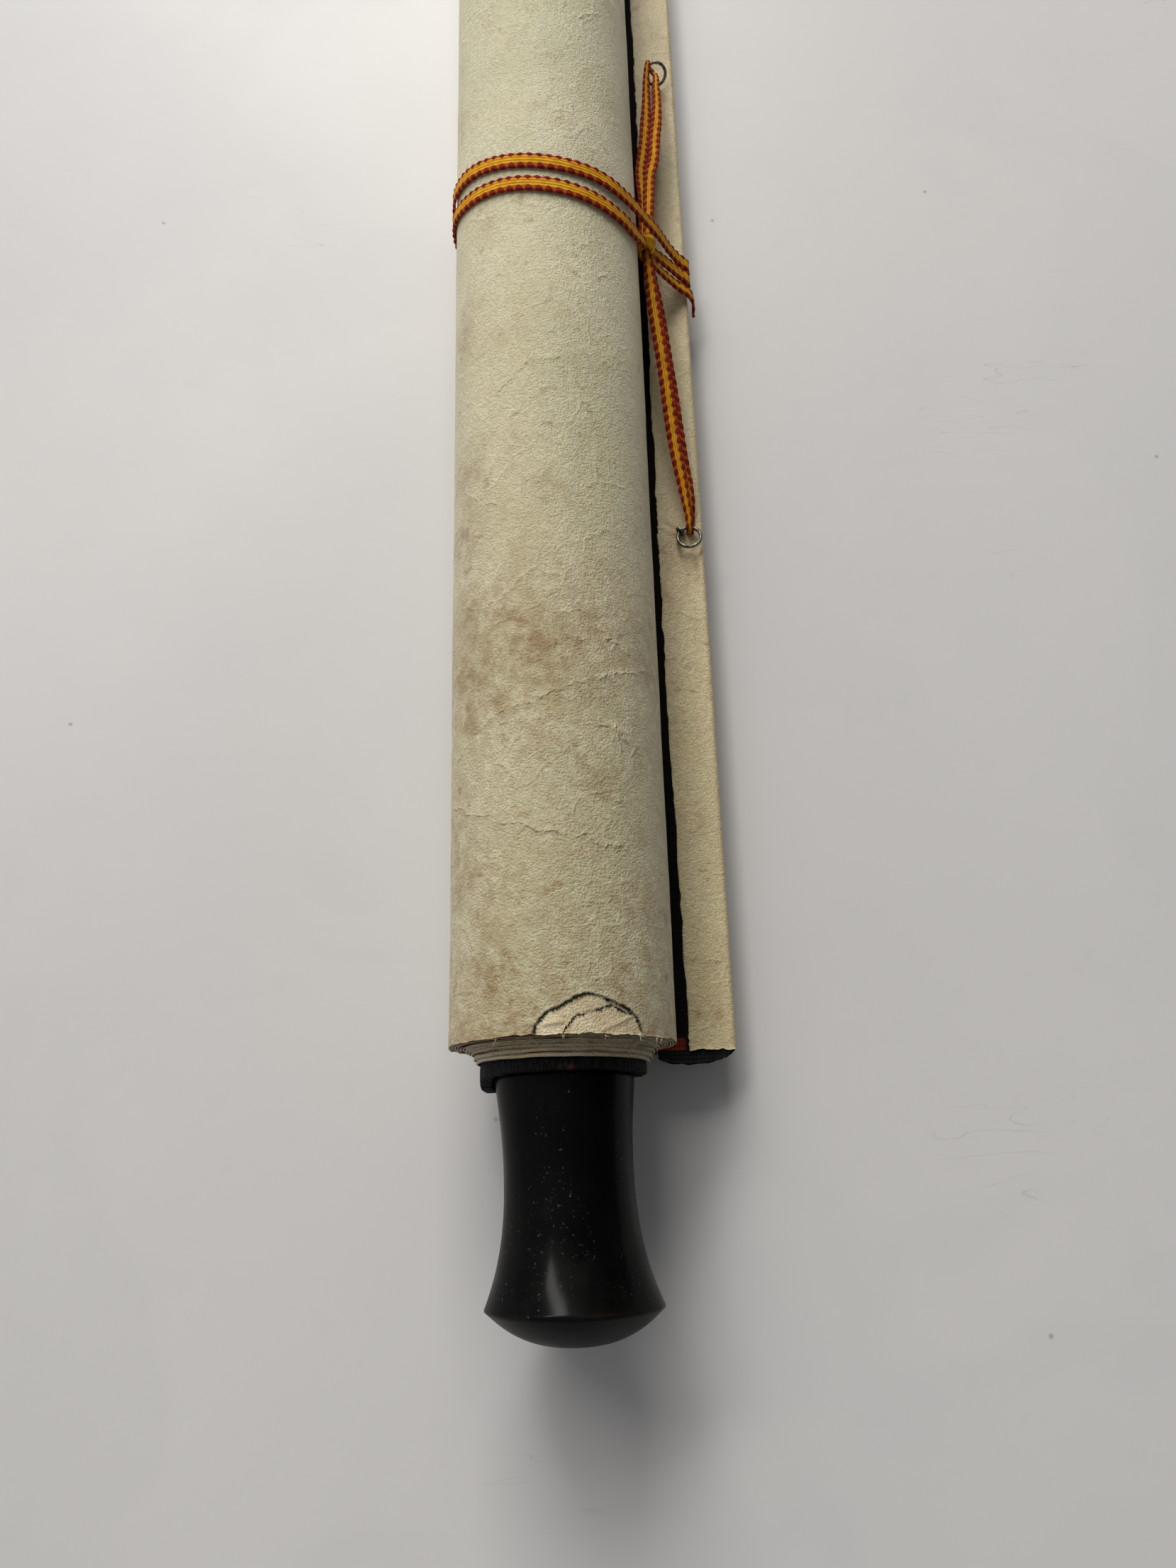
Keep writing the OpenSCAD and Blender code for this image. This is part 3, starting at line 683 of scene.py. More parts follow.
def inside(u, b, outline):
    """Signed distance to an outline that is closed along the sheet's edge; above 0 inside."""
    p = stacked(u, b).reshape(-1, 2)
    best = np.full(len(p), np.inf)
    odd = np.zeros(len(p), bool)
    loop = np.concatenate([outline, outline[:1]])
    for (ax, ay), (bx, by) in zip(loop, loop[1:]):
        d = np.array([bx - ax, by - ay])
        t = np.clip(((p[:, 0] - ax) * d[0] + (p[:, 1] - ay) * d[1]) / max(d @ d, 1e-12), 0, 1)
        if max(ay, by) > -0.3:
            best = np.minimum(best, np.hypot(p[:, 0] - ax - t * d[0], p[:, 1] - ay - t * d[1]))
        if ay != by:
            hit = ((ay > p[:, 1]) != (by > p[:, 1])) & (p[:, 0] < (bx - ax) * (p[:, 1] - ay) / (by - ay) + ax)
            odd ^= hit
    return np.where(odd, best, -best).reshape(u.shape)


tear_outer = ragged(TEAR_OUTER, 0.25, 0.42, 31)
tear_inner = ragged(TEAR_INNER, 0.25, 0.36, 37)

# Stains on the outer turn: degrees from +X, mm along, radius, strength
SPOTS = [(152, -36, 7, 0.5), (148, -96, 8, 0.55), (141, -118, 9, 0.5), (140, -132, 9, 0.5), (126, -203, 4, 0.6),
         (118, -201, 3, 0.5), (141, -78, 5, 0.35), (118, -124, 16, 0.32), (96, -128, 16, 0.36), (72, -122, 12, 0.35),
         (59, -205, 4, 0.3), (91, -89, 5, 0.25), (110, -76, 4, 0.3), (155, -176, 8, 0.25), (40, -190, 8, 0.2)]


def spread_lines(stops):
    """Places from (start, step) pairs up to the last stop."""
    made = []
    for (a, step), (b, _) in zip(stops, stops[1:]):
        made.append(np.linspace(a, b, max(2, int(round((b - a) / step)) + 1))[:-1])
    return np.concatenate(made + [[stops[-1][0]]])


def outer_turn():
    """The visible turn: its last lap lies on the table, and its near edge is torn."""
    s = spread_lines([(-50.4, 8), (0, 2.6), (156, 0.62), (226, 2.6), (OUTER_TO, 2.6)])
    y = -HALF + spread_lines([(0, 0.28), (9.5, 0.7), (14, 2.1), (2 * HALF - 3, 0.8), (2 * HALF, 1)])
    S, Y = np.meshgrid(s, y, indexing="ij")
    arc = np.radians(S) * SHEET_R
    u = np.radians(S - 180) * SHEET_R       # across from the top of the roll
    b = Y + HALF                            # in from the near edge
    wave = 0.16 * fbm(arc / 30, Y / 38, seed=3) + 0.10 * fbm(arc / 8, Y / 9, seed=11)
    wave = wave * smooth(-10, 30, S)
    ragged_edge = 0.22 * noise(arc / 2.2, 1.7, seed=5) + 0.13 * noise(arc / 0.6, 8.1, seed=6)
    lip = 0.13 * smooth(3.9, 3.1, b + 0.35 * noise(arc / 5, 3.0, seed=9)) * smooth(-4.5, -6.5, u)
    d1, d2 = inside(u, b, tear_outer), inside(u, b, tear_inner)
    local = (np.abs(u - 6) < 14) & (b < 10)
    d1, d2 = np.where(local, d1, -9), np.where(local, d2, -9)
    fold = 0.38 * bell(b - 2.0 - 0.12 * (u + 3), 0.28) * smooth(-4.6, -3.2, u) * smooth(1.2, 0, u)
    fold = fold + 0.28 * bell(b - 2.75 - 0.05 * (u + 3), 0.22) * smooth(-3.4, -2.4, u) * smooth(0.8, -0.2, u)
    flap = 0.24 * bell(b - 0.5 - 0.42 * (u - 8), 0.4) * smooth(7, 9, u) * smooth(16.5, 15, u)
    curl = 0.22 * bell(d1, 0.5) * (d1 < 0.05)
    bare = smooth(0.1, 0.5, d1)
    depth = -0.19 * smooth(-0.05, 0.25, d1) + 0.11 * smooth(-0.05, 0.25, d2) + (fold + flap) * bare
    depth = depth + curl + 0.10 * np.abs(fbm(u / 2.6, b / 1.3, seed=40)) * bare
    outer_away = wave + lip + depth
    x, z, nx, nz = turned(S)
    yy = Y + np.where(b < 0.01, ragged_edge, 0) + np.where(b > 2 * HALF - 0.01, ragged_edge, 0)
    outer = stacked(x + nx * outer_away, yy, z + nz * outer_away)
    inner_away = np.minimum(outer_away - 0.06, wave - PAPER_T)
    inner_away = np.where(S < 0, -PAPER_T, inner_away)
    inner = stacked(x + nx * inner_away, yy, z + nz * inner_away)
    outer[S < 0] = stacked(x, yy, z)[S < 0]
    verts, faces = slab(outer, inner)
    theta = 270 - S
    stain_and_shade = np.zeros(S.shape)
    for ta, ya, radius, strong in SPOTS:
        off = np.hypot(np.radians(theta - ta) * SHEET_R, (Y - ya) * 0.8) / radius
        off = off * (1 + 0.35 * fbm(arc / 5 + ta, Y / 5, seed=17))
        stain_and_shade = np.maximum(stain_and_shade, strong * np.exp(-off * off * 1.5))
    edge = 0.42 * np.exp(-np.clip(b, 0, None) / 5.5)
    edge = edge + 0.25 * bell(b - 3.6 - 0.5 * noise(arc / 5, 3.0, seed=9), 0.35) * (u < -5)
    band = 0.24 * bell(Y + 127 + 0.05 * arc, 7) * (0.7 + 0.6 * fbm(arc / 8, Y / 6, seed=23))
    # painted shade: the sheet is made darker towards its near end, standing in for the light falling off there
    low = 0.46 * smooth(20, -215, Y)
    stain_and_shade = stain_and_shade + edge + band + low + 0.14 * smooth(0.15, 0.5, fbm(arc / 9, Y / 11, seed=29))
    stain_and_shade = np.clip(stain_and_shade, 0, 1) * (1 - smooth(0, 0.4, d1))
    rim = bell(d1, 0.22) + bell(d2, 0.2) * (d1 > 0) * smooth(1.5, 4, u)
    # painted shade along the foot of the tear's torn edge, added to the stain colour
    shade = 0.5 * np.exp(-np.clip(d1, 0, None) / 0.9) * (d1 > 0)
    uv = stacked(arc * MM, Y * MM).reshape(-1, 2)
    attrs = {"stain_and_shade": twice(np.clip(stain_and_shade + 0.35 * shade, 0, 1)), "torn": twice(smooth(0.0, 0.25, d1)),
             "dark_rim_and_shade": twice(np.clip(rim * (b > 0.5) * 0.9, 0, 1))}
    return verts, faces, np.concatenate([uv, uv]), attrs


def inner_turns(paper):
    """The rest of the winding: the backing paper, or the silk face inside it. Also a mask of painted shade: 1 where
    it is out of sight, 0.9 from 0.78 mm in from its near edge, where it runs under the turn outside it.
    """
    start, top, thick, seed = (OUTER_TO, 0.0, PAPER_T, 50) if paper else (0, -PAPER_T - 0.02, SILK_T, 60)
    s = np.arange(start, TURNS * 360, 3.0)
    jig = 0.07 * noise(s / 95, 0.5, seed=seed)
    out = edge_out(s) + 0.26 * noise(s / 70, 2.5, seed=seed + 1) + 0.10 * noise(s / 9, 5.5, seed=seed + 2)
    if not paper:
        out = out + 0.2 * noise(s / 40, 3.3, seed=61)
    rows = []
    # painted shade: each turn is darkened from 0.78 mm in from its near edge, where it runs under the turn outside it
    gap = np.broadcast_to(np.array([0.1, 0.0, 0.9, 1.0, 1.0, 0.0])[None], (len(s), 6))
    for away in (top, top - thick):
        x, z, _, _ = turned(s, away + jig)
        ends = [stacked(x, yy, z) for yy in
                (-HALF - out, -HALF - out + 0.42, -HALF - out + 0.78, -HALF + 3, HALF - 4.5,
                 HALF - edge_out(s) - 0.2 * noise(s / 60, 7.7, seed=seed))]
        rows.append(np.stack(ends, 1))
    verts, faces = slab(rows[0], rows[1])
    return verts, faces, twice(gap)


def build_sheet():
    """The backing paper as one piece: the outer turn and the turns inside it."""
    v1, f1, uv1, a1 = outer_turn()
    v2, f2, gap = inner_turns(True)
    verts, faces = merged([(v1, f1), (v2, f2)])
    uv = np.concatenate([uv1, stacked(v2[:, 0] * MM, v2[:, 1] * MM)])
    # painted shade between the turns: the mask darkens the tucked part of each turn, and the lip gets the bared tone
    extra = {"stain_and_shade": 0.1 + 0.8 * gap, "torn": 0.6 * (1 - gap), "dark_rim_and_shade": 0.36 * gap}
    attrs = {k: np.concatenate([a, extra[k]]) for k, a in a1.items()}
    return piece("rolled_paper", verts, faces, roll_paper, "sheet", ["backing_paper"], "aged_paper", uv, attrs)


rolled = build_sheet()

# ---- border, stave and its wrappings


def strip(path, y, thick, out=0.0):
    """Outer and inner grids of a layer that follows a path of (x, z) across the stave, at the places y."""
    path = np.asarray(path, float)
    t = np.gradient(path, axis=0)
    n = stacked(-t[:, 1], t[:, 0])
    n /= np.linalg.norm(n, axis=1, keepdims=True)
    away = np.zeros((len(path), len(y))) + out

    def grid(d):
        x = path[:, None, 0] + n[:, None, 0] * (away + d)
        z = path[:, None, 1] + n[:, None, 1] * (away + d)
        return stacked(x, y[None], z)

    return grid(0.0), grid(-thick)


def dense(points, step):
    """Points about step apart along straight runs."""
    p = np.asarray(points, float)
    made = [np.linspace(a, b, max(2, int(np.ceil(np.hypot(*(b - a)) / step)) + 1))[:-1]
            for a, b in zip(p, p[1:])]
    return np.concatenate(made + [p[-1:]])


CLOTH_TOP = STAVE_TOP - 0.3
LAYER_Z = TABLE_Z + 0.5     # under the roll, the cloth lies on the paper
border_path = dense([(6.1, LAYER_Z), (21.1, LAYER_Z), (21.45, TABLE_Z + 0.9), (21.45, CLOTH_TOP - 0.1),
                     (21.75, CLOTH_TOP + 0.2), (28.4, CLOTH_TOP + 0.2), (29.6, CLOTH_TOP)], 0.7)
border_y = spread_lines([(-HALF + 2.9, 1.5), (HALF - 2.9, 1.5)])
puff = 0.10 * fbm(border_path[:, 0][:, None] / 3 + border_path[:, 1][:, None] / 3, border_y[None] / 6, seed=70)
border = piece("black_border", *slab(*strip(border_path, border_y, 0.22, puff)), black_cloth, "sheet",
               ["top_border"], "black_cloth")

silk_parts = [inner_turns(False)[:2]]
for sign in (-1, 1):
    hem_y = np.sort(sign * (HALF - np.linspace(0, 3.4, 8)))
    hem_path = dense([(-0.5, LAYER_Z), (21.1, LAYER_Z), (21.4, TABLE_Z + 0.8), (21.4, CLOTH_TOP - 0.2),
                      (21.7, CLOTH_TOP + 0.12), (28.2, CLOTH_TOP + 0.16)], 0.8)
    fray = 0.12 * fbm(hem_path[:, 0][:, None] / 2, hem_y[None] / 2 + hem_path[:, 1][:, None], seed=74)
    silk_parts.append(slab(*strip(hem_path, hem_y, SILK_T, fray)))
run_y = spread_lines([(-HALF, 20), (HALF, 20)])
silk_parts.append(slab(*strip(dense([(-0.5, LAYER_Z), (6.0, LAYER_Z)], 2), run_y, SILK_T)))
silk = piece("silk_face", *merged(silk_parts), red_silk, "sheet", ["face_silk"], "red_silk")

STAVE_X = (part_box("stave_core")[0].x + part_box("stave_core")[1].x) / 2 / MM
STAVE_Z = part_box("stave_core")[1].z / MM
WRAP_R = STAVE_RIGHT - STAVE_X
PIN_FAR = np.array(JOINT["far_ring_swing"]["pos_m"]) / MM
PIN_NEAR = np.array(JOINT["near_ring_swing"]["pos_m"]) / MM


def groove(x, y, a, b, width, depth):
    """A soft furrow from a to b that fades at b."""
    a, b = np.array(a, float), np.array(b, float)
    d = b - a
    t = ((x - a[0]) * d[0] + (y - a[1]) * d[1]) / (d @ d)
    tc = np.clip(t, 0, 1)
    off = np.hypot(x - a[0] - tc * d[0], y - a[1] - tc * d[1])
    return depth * bell(off, width) * (1 - 0.8 * tc)


# Furrows and ridges of the stave's paper at each pin: from and to, from the pin, then width and depth
NEAR_GROOVES = [((-0.4, 0.3), (-4.4, 3.4), 0.5, -0.55), ((-0.9, -0.4), (-5.0, 2.3), 0.5, 0.5),
                ((0.1, -3.4), (2.9, -15), 0.9, -0.42), ((4.4, -3.5), (4.6, -15), 0.8, -0.4),
                ((2.1, -4.5), (3.7, -15), 0.9, 0.25)]
FAR_GROOVES = [((0, -0.5), (3.5, -7), 0.8, -0.35), ((0.5, 3), (1, 9), 0.9, -0.25)]


def stave_wrap():
    """The paper round the stave: across its flat, round its right side and back under the roll."""
    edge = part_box("stave_paper")[0].x / MM
    bend, n_top = 1.0, 22
    top = [(x, STAVE_TOP) for x in np.linspace(STAVE_FLAT_X + 0.1, STAVE_RIGHT - bend, n_top)]
    corner = [(STAVE_RIGHT - bend + bend * math.sin(a), STAVE_TOP - bend + bend * math.cos(a))
              for a in np.radians([18, 36, 54, 72])]
    side = [(STAVE_X + WRAP_R * math.cos(a), STAVE_Z + WRAP_R * math.sin(a))
            for a in np.radians(np.linspace(-3, -90, 16))]
    run = [(x, TABLE_Z) for x in (28, 25, edge)]
    path = np.array(top + corner + side + run)
    y = spread_lines([(-HALF, 0.35), (-HALF + 4, 2.2), (-102, 0.6), (-66, 2.2), (62, 0.7), (92, 2.2),
                      (HALF - 4, 0.5), (HALF, 1)])
    X, Y = np.broadcast_arrays(path[:, 0][:, None], y[None])
    flat = (np.arange(len(path)) < n_top + 2)[:, None] * np.ones(X.shape)
    away = 0.11 * fbm(X / 6, Y / 14, seed=80) + 0.06 * fbm(X / 2, Y / 2.4, seed=83)
    away += 0.25 * bell(X - STAVE_X - 1, 5) * flat
    (px, py), (qx, qy) = PIN_NEAR[:2], PIN_FAR[:2]
    for (x0, y0), grooves in (((px, py), NEAR_GROOVES), ((qx, qy), FAR_GROOVES)):
        away += flat * sum(groove(X, Y, (x0 + a[0], y0 + a[1]), (x0 + b[0], y0 + b[1]), width, depth)
                           for a, b, width, depth in grooves)
    lip = bell(Y + HALF, 0.45) + bell(Y - HALF, 0.45)
    away += 0.22 * lip * (0.6 + fbm(X / 1.5, 0.5, seed=88)) * flat
    outer, inner = strip(path, y, PAPER_T, away)
    fray = 0.22 * noise(y / 0.8, 0.2, seed=90) + 0.30 * noise(y / 5, 0.7, seed=91)
    back = smooth(*LOOSE_END, y)
    for g in (outer, inner):
        g[:n_top, :, 0] += np.linspace(1, 0, n_top)[:, None] * back
        g[0, :, 0] += fray
        g[1, :, 0] += fray * 0.5
        cut = 0.30 * noise(path[:, 0] / 1.4, path[:, 1] / 1.4, seed=93) + 0.12 * noise(path[:, 0] / 0.4, 2, seed=94)
        g[:, 0, 1] += cut
        g[:, -1, 1] -= cut
    verts, faces = slab(outer, inner)
    spot = lambda x, yy, r, s: s * np.exp(-(((X - x) / r) ** 2 + ((Y - yy) / r) ** 2))
    # Dark spots: at the paper's near end, round both pins and beside the hanging tapes. The first, in the near pin's
    # furrow, is rust and painted shade of the gap under the lifted paper.
    stain_and_shade = (spot(30.6, -206.5, 1.5, 0.6) + spot(36.3, -206.8, 1.3, 0.45)
             + spot(px - 1.5, py + 0.6, 1.6, 0.7) + spot(px + 1, py - 1, 2.5, 0.4) + spot(px + 3, py - 9, 3, 0.3)
             + spot(qx + 2.5, qy - 4.5, 2, 0.5) + spot(29.5, -15, 1.6, 0.5) + spot(31.5, 24, 1.5, 0.7)
             + 0.12 * np.exp(-(Y + HALF) / 5) + 0.18 * smooth(0.1, 0.45, fbm(X / 5, Y / 9, seed=97)))
    # darker along the stave's right edge
    stain_and_shade = np.clip(stain_and_shade + 0.18 * bell(X - STAVE_RIGHT, 1.2), 0, 1)
    return piece("stave_wrapper", verts, faces, stave_paper, "sheet", ["stave_paper"], "stave_paper",
                 attrs={"stain_and_shade": twice(stain_and_shade)})


wrapper = stave_wrap()


def d_outline(r, top, n=56):
    """The half-round section, counter-clockwise from its flat's left corner."""
    a = np.linspace(math.pi, 2 * math.pi, n)
    low = stacked(STAVE_X + r * np.cos(a), STAVE_Z + r * np.sin(a))
    flat = stacked(np.linspace(STAVE_X + r, STAVE_X - r, 30)[1:-1], np.full(28, top))
    return np.concatenate([low, flat])


def end_at(x, r, reach):
    """How far the stave's worn end stands out at x."""
    v = np.clip(np.abs((x - STAVE_X + 1.2) / r), 0, 1)
    return reach * (1 - v**2.6) ** 0.6


def stave_body(name, r, top, reach, material, node, slot, hollow=None, seed=0):
    """A half round bar with worn ends, or with hollow a skin whose ends are open inside."""
    ring = d_outline(r, top)
    centre = np.array([STAVE_X, STAVE_Z - 2.5])
    out = end_at(ring[:, 0], r + 1.2, reach) + 0.18 * noise(ring[:, 0] / 0.9, ring[:, 1] / 0.9, seed=seed)
    rows = []
    for t in (-1, 1):
        stations = [HALF + 0 * out - 6, HALF + 0 * out - 1, HALF + out * 0.6, HALF + out]
        low = [np.minimum(ring[:, 1], top - 0.45)] + [ring[:, 1]] * 3
        made = [stacked(ring[:, 0], t * d, z) for d, z in zip(stations, low)]
        rows += made[::-1] if t < 0 else made
    rows = np.stack(rows)
    n, m = rows.shape[:2]
    verts, faces = [rows.reshape(-1, 3)], [grid_faces(n, m, close_m=True)]
    start = n * m
    for end, row in ((-1, rows[0]), (1, rows[-1])):
        loops = [row]
        for t in ((hollow,) if hollow else (0.85, 0.65, 0.42, 0.2)):
            xz = centre + (ring - centre) * t
            y = HALF + end_at(xz[:, 0], r + 1.2, reach) - (0.25 if hollow else 0.12)
            y = y + 0.12 * noise(xz[:, 0] / 1.1, xz[:, 1] / 1.1, seed=seed + 3)
            if hollow:
                y = y - 3
            loops.append(stacked(xz[:, 0], end * y, xz[:, 1]))
        loops = np.stack(loops)
        k = len(loops)
        verts.append(loops.reshape(-1, 3))
        faces.append(grid_faces(k, m, start, close_m=True, flip=end < 0))
        start += k * m
        if not hollow:
            last = start - m
            verts.append(loops[-1].mean(0)[None])
            faces.append(np.array([[last + j, last + (j + 1) % m, start, start] for j in range(m)]))
            start += 1
    every = [[int(v) for v in dict.fromkeys(f)] for block in faces for f in block.tolist()]
    return piece(name, np.concatenate(verts), every, material, "sheet", [node], slot)


stave_skin = stave_body("stave_cloth_skin", 9.0, CLOTH_TOP, 2.5, end_cloth, "stave_cloth", "black_cloth", 0.955, 101)
stave_body("stave_bar", 8.55, STAVE_Z - 0.05, 2.35, stave_wood, "stave_core", "stave_wood", None, 105)

# ---- loose fibres


def hairs(name, starts, length, radius, spread, material, seed):
    """Short curved fibres, each a fine tube. starts is a list of (point, direction)."""
    rng = np.random.default_rng(seed)
    parts = []
    for at, way in starts:
        way = np.array(way, float) / np.linalg.norm(way)
        long = length * rng.uniform(0.5, 1.3)
        bend = rng.normal(0, spread, 3)
        steps = np.linspace(0, 1, 7)[:, None]
        line = np.array(at) + way * steps * long + bend * steps**2 * long
        t = np.gradient(line, axis=0)
        t /= np.linalg.norm(t, axis=1, keepdims=True)
        a = np.cross(t, [0.3, 0.2, 1.0])
        a /= np.linalg.norm(a, axis=1, keepdims=True)
        b = np.cross(t, a)
        angle = np.linspace(0, 2 * np.pi, 5)[:-1]
        size = radius * (1 - 0.7 * steps)
        turn = a[:, None] * np.cos(angle)[None, :, None] + b[:, None] * np.sin(angle)[None, :, None]
        ring = line[:, None] + turn * size[..., None]
        faces = grid_faces(7, 4, close_m=True).tolist() + [[3, 2, 1, 0], [24, 25, 26, 27]]
        parts.append((ring.reshape(-1, 3), faces))
    verts, faces = merged(parts)
    return piece(name, verts, faces, material, "sheet")


rng = np.random.default_rng(7)
lint = []
for y in np.concatenate([rng.uniform(-HALF + 3, 150, 26), rng.uniform(-HALF + 3, -HALF + 60, 40)]):
    x = STAVE_FLAT_X + float(smooth(*LOOSE_END, y)) + rng.uniform(-0.15, 0.15)
    lint.append(((x, y, STAVE_TOP - 0.12), (rng.normal(-0.7, 0.4), rng.normal(0, 0.8), 0.1)))
hairs("paper_edge_lint", lint, 0.75, 0.035, 0.5, brown_fibre, 4)


def on_roll(u, b, away):
    """A point of the outer turn from its place in the tear's own measure."""
    x, z, nx, nz = turned(180 + np.degrees(np.asarray(u) / SHEET_R))
    return stacked(x + nx * away, b - HALF + 0 * x, z + nz * away)


def fringe(outline, away, seed):
    """Dark frayed teeth along a torn edge."""
    keep = outline[outline[:, 1] > 0.35]
    rng = np.random.default_rng(seed)
    starts = []
    for (u, b), (du, db) in zip(keep, np.gradient(keep, axis=0)):
        if noise(u / 1.1 + seed * 9, b / 1.1) < -0.35:
            continue
        at = on_roll(u, b, away + rng.uniform(0, 0.06))
        side = np.array([db, -du]) / math.hypot(du, db)
        for _ in range(3):
            turn = rng.normal(0, 0.5)
            starts.append((at + rng.normal(0, 0.07, 3) * [1, 1, 0.2],
                           (side[0] + turn * du * 3, side[1] + turn * db * 3, rng.normal(0, 0.15))))
    return starts


fringes = fringe(tear_outer, 0.02, 1) + fringe(tear_inner, -0.12, 2)
hairs("tear_fringe", fringes, 0.5, 0.10, 0.3, char_fibre, 9)
# Frayed threads of the near edge: across from the top, in from the edge, lean
FRAYS = [(17.7, 0.2, 0.4), (17.9, 0.4, 0.8), (17.5, 0.1, -0.2), (0.2, 0, 0.1), (0.5, 0, -0.3), (22.5, 0, 0.2),
         (23.2, 0, -0.5), (24.5, 0, 0.3), (9, 0, 0.5), (-14, 0, -0.2)]
frays = [(on_roll(u, b, 0.0) + np.array([0, -0.2, 0]), (lean, -1, 0.3)) for u, b, lean in FRAYS]
hairs("edge_frays", frays * 2, 1.1, 0.06, 0.4, pale_fibre, 12)

# ---- collars and knobs


def lathe(y, r, n, shift):
    """Points of a turned surface: y stations and radii, n points round, each moved by shift(theta, y)."""
    A, Y = np.meshgrid(np.linspace(0, 2 * np.pi, n, endpoint=False), y, indexing="ij")
    dr, dy = shift(A, Y)
    R, Y = np.broadcast_to(r, Y.shape) + dr, Y + dy
    return stacked(R * np.cos(A), Y, AXIS_Z + R * np.sin(A)), A


def roller_piece(sign, name, node, pts, faces, material, slot, rub):
    which = "near" if sign < 0 else "far"
    piece(f"{name}_{which}", pts.reshape(-1, 3), faces, material, "roller", [f"{node}_{which}"], slot,
          attrs={"rub": rub.ravel()})


def collar(sign):
    """A crinkled leather band at one end of the roller; it closes in over the rod's end."""
    end = HALF + 6.1
    lip = [end - 0.05, end, end, end, end - 0.25]
    y = np.concatenate([np.linspace(HALF - 5, end - 0.3, 34), lip, np.linspace(end - 0.3, HALF - 5, 8)])
    r = np.concatenate([np.full(34, 18.05), [17.95, 17.65, 16.6, 15.5, 15.4], np.full(8, 17.15)])
    hang_at, hang_by = (200, 2.7) if sign < 0 else (300, 1.2)      # where a loose flap hangs, and how far

    def shift(A, Y):
        near = smooth(HALF - 0.5, end, Y)
        hang = bell(np.degrees(A) - hang_at, 22)
        crease = 0.16 * fbm(A * 18, Y / 5, seed=120) + 0.08 * fbm(A * 40, Y / 1.6, seed=124)
        dr = crease * smooth(HALF - 2, HALF + 1.5, Y) + hang * near * 0.8
        frayed = 0.28 * noise(A * 9, 0.4, seed=127) + 0.1 * noise(A * 40, 1.4, seed=129)
        return dr, near * (0.3 + frayed + hang * hang_by)

    pts, A = lathe(y, r, 240, shift)
    pts[..., 1] *= sign
    n, m = pts.shape[:2]
    rub = bell(np.degrees(A) - 86, 6) * smooth(HALF + 4.6, HALF + 5.6, y)[None]
    faces = grid_faces(n, m, close_n=True, flip=sign < 0)
    ends = np.array([[i * m, ((i + 1) % n) * m, ((i + 1) % n) * m + m - 1, i * m + m - 1] for i in range(n)])
    faces = np.concatenate([faces, ends if sign < 0 else ends[:, ::-1]])
    roller_piece(sign, "collar_band", "collar", pts, faces, leather, "black_leather", rub)


KNOB_LEAN = 0.026     # of the near knob, to the right, per mm along it


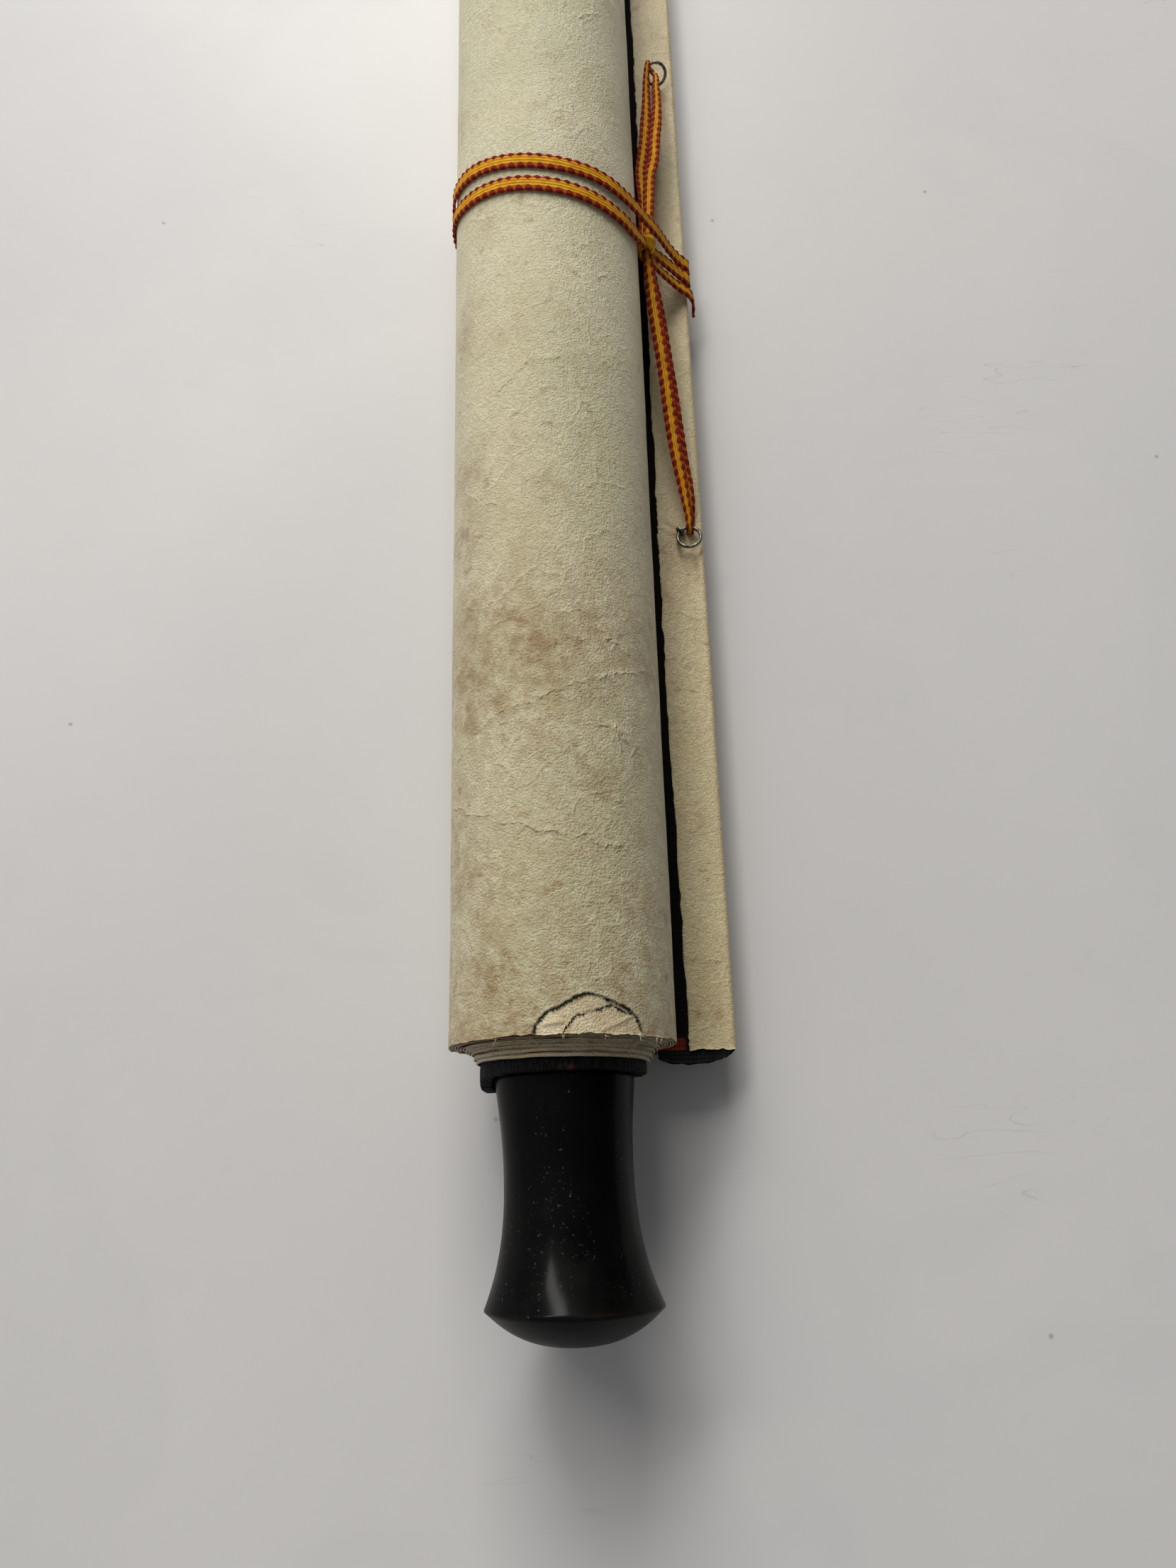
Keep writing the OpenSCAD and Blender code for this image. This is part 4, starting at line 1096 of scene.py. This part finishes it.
def knob(sign):
    """A turned knob: a slight step at its neck, a waist, a flared rim and a low dome. The near one leans."""
    neck, shoulder, rim, tip = HALF + 5.85, HALF + 7.6, HALF + 52.8, END_Y
    waist = shoulder + 0.4 * (rim - shoulder)
    down, up = np.linspace(0, 1, 16), np.linspace(0, 1, 34)[1:]
    y = np.concatenate([[neck, HALF + 6.4], shoulder + (waist - shoulder) * down, waist + (rim - 0.5 - waist) * up])
    r = np.concatenate([[14.9, 15.15], 15.2 - 1.35 * np.sin(down * math.pi / 2), 13.85 + 4.72 * up**2.45])
    turn = np.linspace(0, 1, 24)[1:]
    dome = 1 - (1 - turn) ** 2.6
    y = np.concatenate([y, [rim - 0.15, rim + 0.15], rim + 0.25 + (tip - rim - 0.25) * dome / dome.max()])
    r = np.concatenate([r, [18.72, 18.68], 18.5 * (1 - turn)])
    r[-1] = 0.02

    def wear(A, Y):
        return 0.06 * fbm(np.cos(A) * 1.5, Y / 12, np.sin(A) * 1.5, seed=140), 0 * Y

    pts, A = lathe(y, r, 128, wear)
    pts[..., 0] += KNOB_LEAN * (pts[..., 1] - neck) * (sign < 0)
    pts[..., 1] *= sign
    n, m = pts.shape[:2]
    faces = grid_faces(n, m, close_n=True, flip=sign < 0)
    cap = [[i * m for i in range(n)], [i * m + m - 1 for i in range(n - 1, -1, -1)]]
    faces = faces.tolist() + [c if sign > 0 else c[::-1] for c in cap]
    rub = 0.5 * bell(y - rim, 0.35)[None] * (0.5 + fbm(A * 6, 0.5, seed=150))
    roller_piece(sign, "turned_knob", "knob", pts, faces, lacquer, "black_lacquer", rub)


for side in (-1, 1):
    collar(side)
    knob(side)

# ---- the CAD parts that stay

for node, look in {"painting": turn_paper, "roller_rod": roller_wood, "eye_far": bronze, "eye_near": bronze,
                   "ring_far": bronze, "ring_near": bronze}.items():
    obj = frame["nodes"][node]
    obj.data.materials.clear()
    obj.data.materials.append(look)

# ---- floor, light

F = 3     # half the table's width, metres
floor = bpy.data.objects.new("table_top", bpy.data.meshes.new("table_top"))
floor.data.from_pydata([(-F, -F, 0), (F, -F, 0), (F, F, 0), (-F, F, 0)], [], [(0, 1, 2, 3)])
floor.data.materials.append(floor_look())
bpy.context.scene.collection.objects.link(floor)

world = bpy.data.worlds.new("soft_sky")
world.use_nodes = True
tree = world.node_tree
tree.nodes["Background"].inputs[0].default_value = (0.98, 0.985, 1.0, 1)
where = tree.nodes.new("ShaderNodeSeparateXYZ")
fade = tree.nodes.new("ShaderNodeMapRange")
tree.links.new(tree.nodes.new("ShaderNodeTexCoord").outputs["Generated"], where.inputs[0])
tree.links.new(where.outputs[0], fade.inputs["Value"])
for socket, value in zip(("From Min", "From Max", "To Min", "To Max"), (-0.8, 0.8, 0.39, 0.045)):
    fade.inputs[socket].default_value = value      # brighter on the left, darker on the stave's side
tree.links.new(fade.outputs[0], tree.nodes["Background"].inputs[1])
bpy.context.scene.world = world


def area_light(name, at, aim, size, watts, colour):
    data = bpy.data.lights.new(name, "AREA")
    data.shape, data.size, data.size_y = "RECTANGLE", size[0], size[1]
    data.energy, data.color = watts, colour
    obj = bpy.data.objects.new(name, data)
    obj.location = at
    obj.rotation_euler = (Vector(aim) - Vector(at)).to_track_quat("-Z", "Y").to_euler()
    bpy.context.scene.collection.objects.link(obj)


area_light("window", (-0.40, 2.3, 1.65), (0, 0, 0), (1.5, 1.4), 61, (1.0, 0.99, 0.955))
area_light("lamp", (-0.56, 0.56, 1.15), (0, -0.1, 0), (0.75, 0.26), 6.2, (1.0, 0.98, 0.95))
